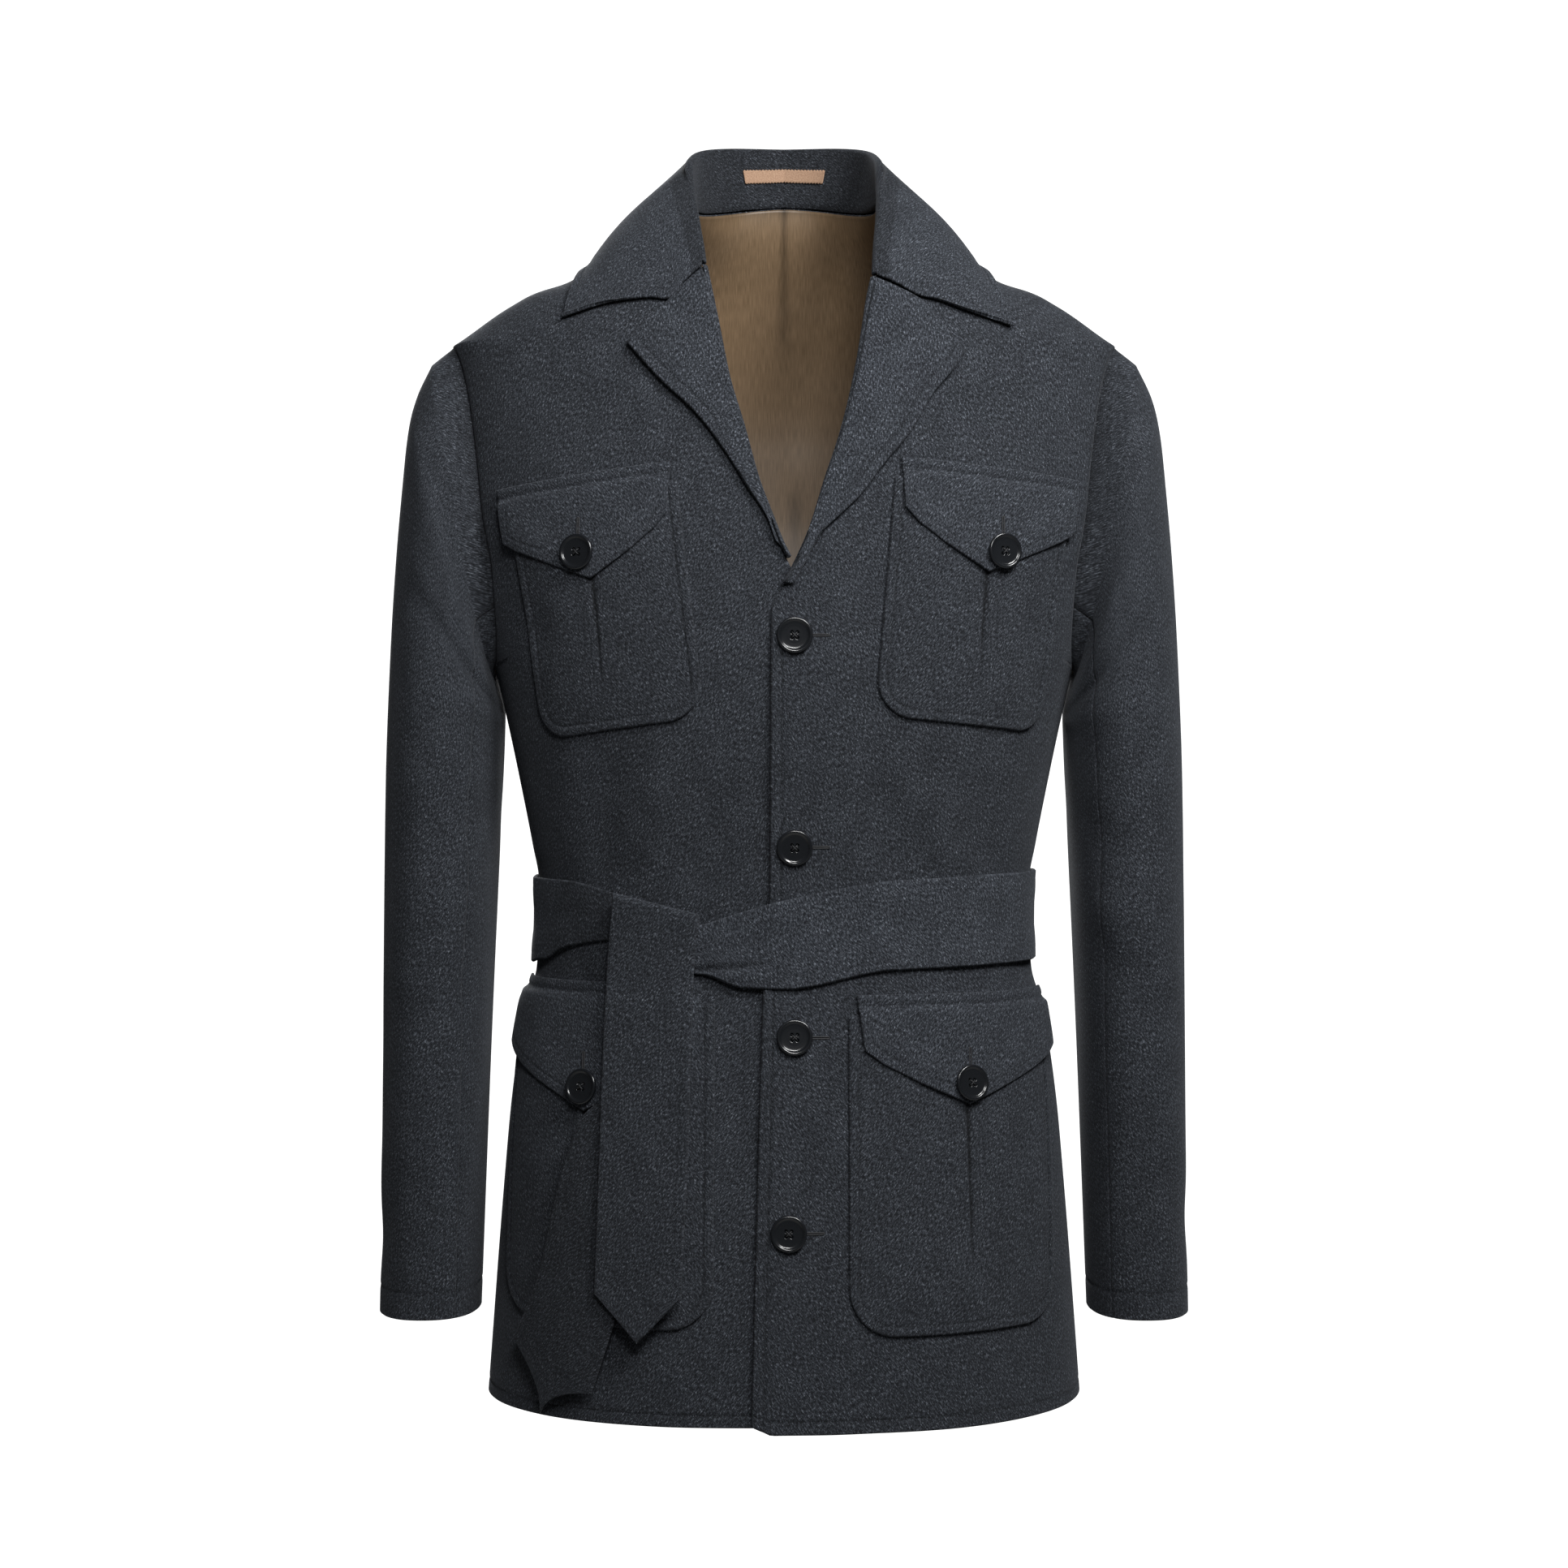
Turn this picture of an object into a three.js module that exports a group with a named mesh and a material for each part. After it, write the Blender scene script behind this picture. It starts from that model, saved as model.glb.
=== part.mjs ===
// Belted safari jacket in wool flannel, with the hollow form it has when worn.
// Millimetres, +Z up, the front towards -Y, +X the wearer's left.
// The origin is midway between the two points where shoulder seam and collar meet.
// Neck, hem, cuffs and armholes are open. Every piece of cloth is a closed wall of its own.

import * as THREE from 'three';

// Cloth walls and the spaces between them
const CLOTH = 2.0;
const COLLAR_CLOTH = 2.2;
const BELT_CLOTH = 2.2;
const POCKET_CLOTH = 1.8;
const LINING_CLOTH = 1.2;
const TAPE_CLOTH = 0.9;
const SEAM_GAP = 0.3;
const LAP_GAP = 0.8;
const PATCH_GAP = 0.8;

// A cell of a wall is cut along its other diagonal where that is flatter by more than this
const CUT_TURNS_AT = 0.02;

// Heights that the panels share
const HEM_Z = -796;
const ARMPIT_Z = -315;
const SHOULDER_Z = -105;
const BREAK_Z = -285;
const BACK_NECK_Z = 15;
const WAIST_Z = -431;

// Levels of the panels' rows from the hem to the armpit, closer together where the belt draws them in
const LEVELS = [
  HEM_Z, -750, -700, -650, -600, -565, -540, -524, -510, -482, -455, WAIST_Z, -400, -357, ARMPIT_Z,
];
const ARMHOLE_ROWS = 12;
const NECK_ROWS = 3;

// The body's cross-section is a rounded oblong: 2 would be an ellipse
const SQUARENESS = 2.25;

// A row for each level of the body: half its width, and how far front and back stand from the side seams
const BODY = table('z halfWidth front back', [
  [15, 60, 42, 75],
  [0, 64.5, 45, 78],
  [-50, 141, 70, 98],
  [-105, 224, 86, 112],
  [-150, 224, 98, 117],
  [-200, 222, 108, 118],
  [-250, 212, 115, 115],
  [-300, 198, 118, 111],
  [-343, 187.5, 117, 106],
  [-400, 175.5, 111, 99],
  [-431, 169.5, 107, 95],
  [-455, 165.4, 105, 93],
  [-480, 165.2, 104, 92],
  [-512, 166.8, 105, 95],
  [-540, 174.5, 109, 99],
  [-600, 183.5, 119, 114],
  [-650, 188, 127, 125],
  [-700, 192, 133, 133],
  [-750, 195.7, 138, 140],
  [-796, 199, 142, 145],
]);

// The inner edge of each front from the hem up: front edge, lapel fold set back for the roll, neck seam
const FRONT_EDGE = {
  left: table('z x', [
    [-796, -20], [-664, -17], [-520, -13], [-459, -9], [-290, -8], [-279, -7.5], [-270, -3], [-260, 4.5],
    [-249.5, 10.3], [-228, 19.5], [-197, 29], [-166, 39.2], [-134, 47], [-108, 52], [-75, 57], [-61, 60.1],
    [-45, 62.6], [-25, 64.2], [-10, 64.6], [0, 64.5],
  ]),
  right: table('z x', [
    [-791.5, -20], [-664, -20], [-459, -20], [-290, -20], [-276, -16], [-260, -8], [-246, -1],
    [-226, 8], [-195, 19.4], [-161, 28.8], [-129, 38.2], [-91, 45.8], [-53, 53.6],
    [-25, 60.6], [-10, 63.4], [0, 64.5],
  ]),
};

// The visible fold of each lapel, from its lower end up to the collar seam
const LAPEL_FOLD = {
  left: table('z x', [
    [-263, -0.5], [-249.5, 6.7], [-228, 16], [-197, 25.5], [-166, 35.6], [-134, 43.5],
    [-108, 48.4], [-75, 53.5], [-61, 56.5],
  ]),
  right: table('z x', [
    [-246, -4.5], [-236, 0.5], [-226, 4.4], [-195, 16], [-161, 25.3], [-129, 34.7], [-91, 42.3], [-53, 50],
  ]),
};

// The free edge of each lapel, from its lower end up to the corner below the notch
const LAPEL_EDGE = {
  left: table('x z', [
    [6, -264], [13, -251], [24, -231], [36, -219], [48, -207], [62, -188], [79, -167], [95, -140],
    [109.5, -122], [116, -111],
  ]),
  right: table('x z', [
    [5.5, -236], [11, -221], [23, -202], [37, -179], [56, -153.5], [80, -130], [101, -105.5],
  ]),
};

// The top of each lapel: the collar seam as far as the notch, then the free top edge to the corner
const LAPEL_TOP = {
  left: table('x z', [[56.5, -61], [72, -67.5], [88, -76], [94, -82], [105.5, -97], [116, -111]]),
  right: table('x z', [[50, -53], [63, -65], [76, -78.5], [88, -90], [101, -105.5]]),
};

// The front edge of each collar leaf: the seam from the fold to the notch, then the free edge to the tip
const COLLAR_FRONT = {
  left: table('x z lift', [
    [56.5, -61, 3.3], [72, -67.5, 2.9], [88, -76, 2.6], [97, -78, 3.0], [116.5, -85, 3.8], [149, -95, 4.6],
  ]),
  right: table('x z lift', [
    [50, -53, 3.3], [63, -65, 2.9], [76, -78.5, 2.6], [86, -77.3, 3.0], [112, -80, 3.8], [144, -88.5, 4.6],
  ]),
};

// Stations of the collar from the end of the lapel fold to the centre back: the height at which it meets
// the neck seam, the top of its roll, and the outer edge of its leaf
const COLLAR = {
  left: table('station seamZ foldX foldY foldZ edgeX edgeY edgeZ', [
    [0, -61.7, 56.5, -71, -61, 149, -67, -95],
    [1, -42, 59, -53, -36, 146, -58, -83],
    [2, -24, 61.5, -34, -12, 141, -46, -68],
    [3, -9, 63, -15, 11, 136, -26, -53],
    [4, 0, 63.5, 3, 30, 131, 0, -42],
    [5, 2.7, 61, 28, 43, 121, 31, -38],
    [6, 8.3, 52, 52, 52, 100, 61, -35],
    [7, 13.2, 29, 74, 58, 60, 86, -30],
    [8, 15, 0, 85, 60, 0, 98, -25],
  ]),
  right: table('station seamZ foldX foldY foldZ edgeX edgeY edgeZ', [
    [0, -53.7, 50, -66, -53, 144, -64, -88.5],
    [1, -37, 54, -50, -31, 142, -56, -79],
    [2, -21, 57.5, -33, -9, 139, -44, -66],
    [3, -8, 61, -15, 12, 136, -26, -53],
    [4, 0, 63.5, 3, 30, 132, 0, -42],
    [5, 2.7, 61, 28, 43, 121, 31, -38],
    [6, 8.3, 52, 52, 52, 100, 61, -35],
    [7, 13.2, 29, 74, 58, 60, 86, -30],
    [8, 15, 0, 85, 60, 0, 98, -25],
  ]),
};
const COLLAR_STATIONS = 8;
const SHOULDER_STATION = 4;
const COLLAR_STEPS = 14;
const STAND_RISE = 0.9;
const STAND_LEAST_SLOPE = 0.35;
const COLLAR_END_SHIFT = 2.6;
const LEAF_BULGE = 7;
const LEAF_CLEAR = 0.9;
const FRONT_BLEND = 2.5;

// The small roll on which collar and lapels turn over, and how the lapels lie on the fronts
const ROLL_RADIUS = 2.15;
const ROLL_SHIFT = 1.1;
const LAPEL_SET_BACK = 0.6;
const LAPEL_LIFT = 3.3;
const LAPEL_SINK = 0.8;
const LAPEL_CORNER_LIFT = 1.2;

// The armhole, and the rings of the sleeve from it down to the cuff: its outer and inner edge as seen
// from the front
const ARMHOLE_FRONT = 29 * Math.PI / 180;
const ARMHOLE_BACK = 26 * Math.PI / 180;
const ARMHOLE_ROUND = 0.62;
const SLEEVE = table('ring outerX outerZ innerX innerZ halfDepth middleY', [
  [1, 236, -108, 194.8, -320, 66, 0],
  [2, 246, -130, 193.6, -325, 70, 0],
  [3, 252, -155, 192.0, -331, 73, 0],
  [4, 256, -190, 190.6, -337, 75, 0],
  [5, 260, -235, 189.8, -345, 76, 0],
  [6, 264, -300, 190.2, -362, 76, 0],
  [7, 267, -386, 191.8, -405, 74, -2],
  [8, 268, -475, 195, -480, 70, -4],
  [9, 268.5, -560, 198, -560, 64, -7],
  [10, 269, -650, 201, -650, 57, -10],
  [11, 270.5, -741, 204, -741, 50, -12],
]);
const SLEEVE_RINGS = [0, 0.5, 1, 2, 3, 4, 5, 6, 7, 8, 9, 10, 11];
const SLEEVE_ROUND = 0.87;
const FRONT_SLEEVE_SEAM = 127.5;
const BACK_SLEEVE_SEAM = 232.5;
const ARMHOLE_GAP = 0.36;
const UNDERARM_OUT = 0.9;

// Half the gap of a sleeve's lengthwise seam, as an angle round the sleeve
const SLEEVE_SEAM_TURN = 0.0038;

// Pockets. The inner top corner of the flap is at topX and topZ, and the pocket tilts down to the side.
const POCKETS = table(
  'name side topX topZ tilt flapWidth patchFrom patchTo patchDepth cornerRadius'
  + ' cornerDepth tipDepth tipAt slit buttonX buttonZ',
  [
    ['chest_left', 'left', 75, -181, 5, 125, -3, 120, 166, 24, 42, 68, 0.47, 62, 138.5, -241],
    ['chest_right', 'right', 73, -184, 7, 121, -3, 113, 165, 24, 42, 68, 0.46, 64, 131, -242],
    ['hip_left', 'left', 46, -525, 0, 160, -5, 150, 212, 30, 44, 70, 0.46, 98, 117, -582],
    ['hip_right', 'right', 52, -518, 0, 166, -8, 156, 215, 30, 50, 82, 0.47, 90, 126.5, -585],
  ],
);
const FLAP_BAND = 7;
const FLAP_STEP = 11.5;
const PATCH_TOP = 13;
const SLIT_HALF_WIDTH = 2;
const SLIT_DEPTH = 1.1;

// A flap's lower corners are cut off over this share of its width, by these depths, and its ends lean in
const FLAP_CUT = 0.08;
const FLAP_CUT_INNER = 9;
const FLAP_CUT_OUTER = 6;
const FLAP_LEAN_INNER = 6;
const FLAP_LEAN_OUTER = 2;
const FLAP_EDGE_LIFT = 0.7;
const FLAP_CLEAR = 0.7;

// Buttons
const BUTTON_RADIUS = 11.5;
const BUTTON_SEAT = 0.7;
const FRONT_BUTTONS = table('x z', [[6.7, -296], [6.7, -430], [6.7, -551.5], [3, -672.6]]);

// Belt: upper and lower edge by the angle round the body, from behind the knot round the back to it again.
// 0 is the wearer's left side, 90 the centre back, -90 and 270 the centre front.
const BELT = table('angle top bottom', [
  [-116, -486, -511], [-108, -480, -511.5], [-99, -471.5, -520], [-90, -464, -521], [-66, -452, -509],
  [-30, -448, -507], [0, -447, -506.5], [90, -448, -505], [180, -451.5, -510], [205, -452, -505],
  [216, -453, -496], [231, -460.5, -490.5], [240, -468, -490],
]);
const BELT_CLEAR = 1.0;
const BELT_COLUMNS = 60;

// The hanging end in front, folded over the belt: its edges from the fold down
const FRONT_TAIL = table('z left right', [
  [-466, -107, -53], [-480, -108.5, -54.5], [-510, -110, -56], [-560, -111.3, -57], [-640, -113, -59],
  [-712, -115, -62],
]);
const FRONT_TAIL_TIP = 29;
const FRONT_TAIL_SLOPE = 13;
const FRONT_TAIL_LIFT = 11.4;
const TAIL_HOOK_LIFT = 6.4;
const TAIL_HOOK_DROP = 11;

// The end below it: both edges, from the knot down to the shoulders of its point
const UNDER_TAIL = table('leftX leftZ rightX rightZ', [
  [-96, -505, -72, -505], [-104, -550, -72, -545], [-112, -590, -74, -590], [-124.5, -603, -78, -615],
  [-136, -633, -84, -645], [-144, -665, -92, -680], [-154, -707, -102, -722], [-170, -748, -118, -774],
]);
const UNDER_TAIL_TIP = { x: -151, z: -791 };
const UNDER_TAIL_LIFT = 7.8;

// Tape on the inside of the collar stand
const TAPE_STEPS = 2;
const TAPE_GAP = 0.4;
const TAPE_LOW = 0.45;
const TAPE_HIGH = 0.66;

function table(columns, rows) {
  const names = columns.split(' ');
  return rows.map(row => Object.fromEntries(names.map((name, i) => [name, row[i]])));
}

function mix(a, b, t) {
  return a + (b - a) * t;
}

function smooth(from, to, value) {
  const t = Math.min(Math.max((value - from) / (to - from), 0), 1);
  return t * t * (3 - 2 * t);
}

function spread(from, to, cells) {
  return Array.from({ length: cells + 1 }, (_, i) => mix(from, to, i / cells));
}

// A smooth curve through one column of a table, which never overshoots its rows
function curveThrough(rows, along, value) {
  const sorted = [...rows].sort((a, b) => a[along] - b[along]);
  const xs = sorted.map(row => row[along]);
  const ys = sorted.map(row => row[value]);
  const steps = xs.slice(1).map((x, i) => (ys[i + 1] - ys[i]) / (x - xs[i]));
  const slopes = xs.map((_, i) => {
    if (i === 0) return steps[0];
    if (i === xs.length - 1) return steps[i - 1];
    if (steps[i - 1] * steps[i] <= 0) return 0;
    return 2 * steps[i - 1] * steps[i] / (steps[i - 1] + steps[i]);
  });
  return x => {
    if (x <= xs[0]) return ys[0];
    if (x >= xs[xs.length - 1]) return ys[xs.length - 1];
    const i = xs.findIndex(next => next > x) - 1;
    const width = xs[i + 1] - xs[i];
    const t = (x - xs[i]) / width;
    const rise = ys[i + 1] - ys[i];
    const bend = slopes[i] * width;
    const curl = slopes[i + 1] * width;
    return ys[i] + bend * t + (3 * rise - 2 * bend - curl) * t * t + (bend + curl - 2 * rise) * t * t * t;
  };
}

// A curve through a table of points, by the share of its length
function pathThrough(rows, columns) {
  let length = 0;
  const marked = rows.map((row, i) => {
    if (i > 0) length += Math.hypot(...columns.slice(0, 2).map(name => row[name] - rows[i - 1][name]));
    return { ...row, length };
  });
  const shared = marked.map(row => ({ ...row, share: row.length / length }));
  const curves = columns.map(name => curveThrough(shared, 'share', name));
  return t => Object.fromEntries(columns.map((name, i) => [name, curves[i](t)]));
}

const halfWidthAt = curveThrough(BODY, 'z', 'halfWidth');
const frontDepthAt = curveThrough(BODY, 'z', 'front');
const backDepthAt = curveThrough(BODY, 'z', 'back');

// A point of the body's outer surface: angle 0 is the wearer's left side seam, 90 degrees the centre back
function bodyPoint(angle, z) {
  const c = Math.cos(angle);
  const s = Math.sin(angle);
  const reach = Math.pow(Math.abs(c) ** SQUARENESS + Math.abs(s) ** SQUARENESS, -1 / SQUARENESS);
  const depth = s < 0 ? frontDepthAt(z) : backDepthAt(z);
  return new THREE.Vector3(halfWidthAt(z) * c * reach, depth * s * reach, z);
}

function bodyNormal(angle, z) {
  const turn = 0.004;
  const rise = 1;
  const round = bodyPoint(angle + turn, z).sub(bodyPoint(angle - turn, z));
  const up = bodyPoint(angle, z + rise).sub(bodyPoint(angle, z - rise));
  return round.cross(up).normalize();
}

// A point moved out from the body's surface
function onBody(angle, z, out) {
  return bodyPoint(angle, z).addScaledVector(bodyNormal(angle, z), out);
}

function frontAngle(x, z) {
  const across = Math.min(Math.max(x / halfWidthAt(z), -1), 1);
  const deep = Math.pow(1 - Math.abs(across) ** SQUARENESS, 1 / SQUARENESS);
  return Math.atan2(-deep, across);
}

// The angle at a length along the cloth, measured from the centre front towards the side
function angleAlong(length, z) {
  const turn = Math.PI / 240;
  const way = Math.sign(length);
  let angle = -Math.PI / 2;
  let passed = 0;
  let here = bodyPoint(angle, z);
  while (passed < Math.abs(length)) {
    const next = bodyPoint(angle + way * turn, z);
    const step = next.distanceTo(here);
    if (passed + step >= Math.abs(length)) {
      return angle + way * turn * (Math.abs(length) - passed) / step;
    }
    passed += step;
    angle += way * turn;
    here = next;
  }
  return angle;
}

function lengthAt(x, z) {
  const turn = Math.PI / 240;
  const last = frontAngle(x, z);
  let length = 0;
  for (let angle = -Math.PI / 2; angle < last; angle += turn) {
    const end = Math.min(angle + turn, last);
    length += bodyPoint(end, z).distanceTo(bodyPoint(angle, z));
  }
  return length;
}

// The left front lies on the right one, so it stands out by a wall round the closure
function lapLift(side, x, z) {
  if (side !== 'left') return 0;
  return (CLOTH + LAP_GAP) * (1 - smooth(24, 62, x)) * (1 - smooth(-250, -205, z));
}

function toSide(side, point) {
  if (side === 'right') point.x = -point.x;
  return point;
}

// A point on a front, where x is counted from the centre line towards the panel's own side
function onFrontAngle(side, angle, z, out) {
  const x = bodyPoint(angle, z).x;
  return toSide(side, onBody(angle, z, out + lapLift(side, x, z)));
}

function onFront(side, x, z, out) {
  return onFrontAngle(side, frontAngle(x, z), z, out);
}

function frontNormal(side, x, z) {
  return toSide(side, bodyNormal(frontAngle(x, z), z));
}

// How flat a cell of a grid is when it is cut along a diagonal: 1 is flat
function flatness(a, b, c, d) {
  const first = b.clone().sub(a).cross(c.clone().sub(a)).normalize();
  const second = c.clone().sub(a).cross(d.clone().sub(a)).normalize();
  return first.dot(second);
}

// A closed wall between an outer and an inner grid of points
function wallBetween(outer, inner) {
  const rows = outer.length;
  const columns = outer[0].length;
  const positions = [];
  for (const grid of [outer, inner]) {
    for (const row of grid) {
      for (const point of row) positions.push(point.x, point.y, point.z);
    }
  }
  const at = (layer, i, j) => (layer * rows + i) * columns + j;
  const faces = [];
  const quad = (a, b, c, d) => faces.push(a, b, c, a, c, d);
  for (let i = 0; i < rows - 1; i++) {
    for (let j = 0; j < columns - 1; j++) {
      const cell = [[i, j], [i, j + 1], [i + 1, j + 1], [i + 1, j]];
      const [a, b, c, d] = cell.map(([row, column]) => outer[row][column]);
      if (flatness(b, c, d, a) > flatness(a, b, c, d) + CUT_TURNS_AT) cell.push(cell.shift());
      quad(...cell.map(([row, column]) => at(0, row, column)));
      const [first, ...others] = cell.map(([row, column]) => at(1, row, column));
      quad(first, ...others.reverse());
    }
  }
  for (let i = 0; i < rows - 1; i++) {
    const last = columns - 1;
    quad(at(0, i, 0), at(0, i + 1, 0), at(1, i + 1, 0), at(1, i, 0));
    quad(at(0, i + 1, last), at(0, i, last), at(1, i, last), at(1, i + 1, last));
  }
  for (let j = 0; j < columns - 1; j++) {
    const last = rows - 1;
    quad(at(0, 0, j + 1), at(0, 0, j), at(1, 0, j), at(1, 0, j + 1));
    quad(at(0, last, j), at(0, last, j + 1), at(1, last, j + 1), at(1, last, j));
  }
  return facingOut(positions, faces);
}

// Turns the faces round if they point into the solid
function facingOut(positions, faces) {
  const corner = i => new THREE.Vector3().fromArray(positions, faces[i] * 3);
  let volume = 0;
  for (let i = 0; i < faces.length; i += 3) {
    volume += corner(i).dot(corner(i + 1).cross(corner(i + 2)));
  }
  if (volume < 0) {
    for (let i = 0; i < faces.length; i += 3) {
      [faces[i + 1], faces[i + 2]] = [faces[i + 2], faces[i + 1]];
    }
  }
  const geometry = new THREE.BufferGeometry();
  geometry.setAttribute('position', new THREE.Float32BufferAttribute(positions, 3));
  geometry.setIndex(faces);
  return geometry;
}

// The normals of a grid of points, taken from its neighbours
function gridNormals(grid) {
  return grid.map((row, i) => row.map((_, j) => {
    const down = grid[Math.min(i + 1, grid.length - 1)][j].clone().sub(grid[Math.max(i - 1, 0)][j]);
    const along = row[Math.min(j + 1, row.length - 1)].clone().sub(row[Math.max(j - 1, 0)]);
    return down.cross(along).normalize();
  }));
}

function movedOut(grid, normals, out) {
  return grid.map((row, i) => row.map((point, j) => point.clone().addScaledVector(normals[i][j], out)));
}

// Half of the seam's gap as an angle round the body
function seamTurn(z) {
  return SEAM_GAP / 2 / frontDepthAt(z);
}

// A point of the armhole's edge: turn 0 is at the shoulder, pi under the arm
function armhole(turn, half) {
  const bulge = Math.abs(Math.sin(turn)) ** ARMHOLE_ROUND;
  const z = mix(SHOULDER_Z, ARMPIT_Z, (1 - Math.cos(turn)) / 2);
  return { angle: half === 'front' ? -ARMHOLE_FRONT * bulge : ARMHOLE_BACK * bulge, z };
}

// Fronts

const FRONT_COLUMNS = [0, 0.035, 0.1, 0.2, 0.3, 0.4, 0.5, 0.6, 0.7, 0.8, 0.9, 1];
const HEM_CORNER = 5;

function frontRows(side) {
  const edgeX = curveThrough(FRONT_EDGE[side], 'z', 'x');
  const hemRise = FRONT_EDGE[side][0].z - HEM_Z;
  const waist = LEVELS.indexOf(WAIST_Z);
  const low = LEVELS.map((z, i) => {
    const aboveWaist = Math.max(i - waist, 0) / (LEVELS.length - 1 - waist);
    const innerZ = z + (i === 0 ? hemRise : 0) + (BREAK_Z - ARMPIT_Z) * aboveWaist;
    return { innerZ, outer: { angle: 0, z } };
  });
  const collarSeamZ = LAPEL_TOP[side][0].z;
  const innerHeights = [
    ...spread(BREAK_Z, collarSeamZ, ARMHOLE_ROWS - NECK_ROWS),
    ...spread(collarSeamZ, 0, NECK_ROWS).slice(1),
  ];
  const high = spread(0, 1, ARMHOLE_ROWS).slice(1).map((above, i) => ({
    innerZ: innerHeights[i + 1],
    outer: armhole(Math.PI * (1 - above), 'front'),
  }));
  const rows = [...low, ...high].map(({ innerZ, outer }) => {
    const innerAngle = frontAngle(edgeX(innerZ), innerZ);
    return FRONT_COLUMNS.map(u => {
      const z = mix(innerZ, outer.z, u);
      return { angle: Math.min(mix(innerAngle, outer.angle, u), -seamTurn(z)), z };
    });
  });
  if (side === 'left') rows[0][0].z += HEM_CORNER;
  return rows;
}

function frontPanel(side) {
  const rows = frontRows(side);
  const layer = out => rows.map(row => row.map(p => onFrontAngle(side, p.angle, p.z, out)));
  return wallBetween(layer(0), layer(-CLOTH));
}

// Back and its lining share one patch, fitted between hem, side seams, armholes, shoulders and neck

const BACK_ARMPIT_AT = 0.56;
const BACK_BEND_FROM = 0.43;
const BACK_BEND = 1.3;
const BACK_COLUMNS = 22;
const LINING_TOP = 0.9985;
const BACK_NECK_FROM = 7 / BACK_COLUMNS;
const BACK_NECK_TO = 15 / BACK_COLUMNS;

function backSide(v) {
  if (v <= BACK_ARMPIT_AT) return { angle: 0, z: mix(HEM_Z, ARMPIT_Z, v / BACK_ARMPIT_AT) };
  return armhole(Math.PI * (1 - (v - BACK_ARMPIT_AT) / (1 - BACK_ARMPIT_AT)), 'back');
}

function backTop(u) {
  if (u < BACK_NECK_FROM) return { angle: 0, z: mix(SHOULDER_Z, 0, u / BACK_NECK_FROM) };
  if (u > BACK_NECK_TO) return { angle: Math.PI, z: mix(SHOULDER_Z, 0, (1 - u) / (1 - BACK_NECK_TO)) };
  const angle = Math.PI * (u - BACK_NECK_FROM) / (BACK_NECK_TO - BACK_NECK_FROM);
  return { angle, z: BACK_NECK_Z * Math.sin(angle) ** 2 };
}

function backPatch(u, v) {
  const near = backSide(v);
  const top = backTop(u);
  const bend = (Math.max(v - BACK_BEND_FROM, 0) / (1 - BACK_BEND_FROM)) ** BACK_BEND;
  const angle = mix(Math.PI * u, top.angle, bend) + (1 - 2 * u) * near.angle;
  const z = near.z + bend * (top.z - SHOULDER_Z);
  const turn = seamTurn(z);
  return { angle: Math.min(Math.max(angle, turn), Math.PI - turn), z };
}

function backWall(us, vs, out, wall) {
  const layer = depth => vs.map(v => us.map(u => {
    const p = backPatch(u, v);
    return onBody(p.angle, p.z, depth);
  }));
  return wallBetween(layer(out), layer(out - wall));
}

const BACK_ACROSS = spread(0, 1, BACK_COLUMNS);
const BACK_UP = [
  ...LEVELS.map(z => BACK_ARMPIT_AT * (z - HEM_Z) / (ARMPIT_Z - HEM_Z)),
  ...spread(BACK_ARMPIT_AT, 1, ARMHOLE_ROWS).slice(1),
];

function backPanel() {
  return backWall(BACK_ACROSS, BACK_UP, 0, CLOTH);
}

// The lining keeps to the back's rows and columns, from above its hem to just under the neck seam
function backLining() {
  const up = [...BACK_UP.slice(1, -1), LINING_TOP];
  return backWall(BACK_ACROSS.slice(1, -1), up, -CLOTH - SEAM_GAP, LINING_CLOTH);
}

// Lapels: the cloth rolls round the front's edge and lies back on it

const LAPEL_ROWS = 10;
const LAPEL_COLUMNS = [0.2, 0.42, 0.6, 0.8, 1];
const ROLL_TURNS = [-90, -135, 180, 135, 90];

function lapel(side) {
  const foldX = curveThrough(LAPEL_FOLD[side], 'z', 'x');
  const edge = pathThrough(LAPEL_EDGE[side], ['x', 'z']);
  const top = pathThrough(LAPEL_TOP[side], ['x', 'z']);
  const low = LAPEL_FOLD[side][0].z;
  const high = LAPEL_TOP[side][0].z;
  const corner = LAPEL_TOP[side].at(-1);
  const fold = LAPEL_TOP[side][0];
  const layer = half => spread(0, 1, LAPEL_ROWS).map(v => {
    const z = mix(low, high, v);
    const slope = foldX(z + 1) - foldX(z - 1);
    const away = new THREE.Vector2(2, -slope).normalize();
    const radius = ROLL_RADIUS + half;
    const rolled = ROLL_TURNS.map(turn => {
      const t = turn * Math.PI / 180;
      const across = ROLL_RADIUS + LAPEL_SET_BACK + radius * Math.cos(t);
      const out = ROLL_SHIFT + radius * Math.sin(t);
      return onFront(side, foldX(z) + away.x * across, z + away.y * across, out);
    });
    const end = edge(v);
    const flat = LAPEL_COLUMNS.map(u => {
      const topped = top(u);
      const bend = v ** 4;
      const x = mix(foldX(z), end.x, u) + bend * (topped.x - mix(fold.x, corner.x, u));
      const height = mix(z, end.z, u) + bend * (topped.z - mix(fold.z, corner.z, u));
      const lift = LAPEL_LIFT - LAPEL_SINK * Math.sin(Math.PI * u) + LAPEL_CORNER_LIFT * u * v;
      return onFront(side, x, height, lift + half);
    });
    return [...rolled, ...flat];
  });
  return wallBetween(layer(CLOTH / 2), layer(-CLOTH / 2));
}

// Collar

// The share of the quarter turn from the shoulder to the centre back at which a station meets the neck seam
const backSeamAt = curveThrough(
  table('station share', [[SHOULDER_STATION, 0], [5, 0.28], [6, 0.53], [7, 0.77], [COLLAR_STATIONS, 1]]),
  'station',
  'share',
);

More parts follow.
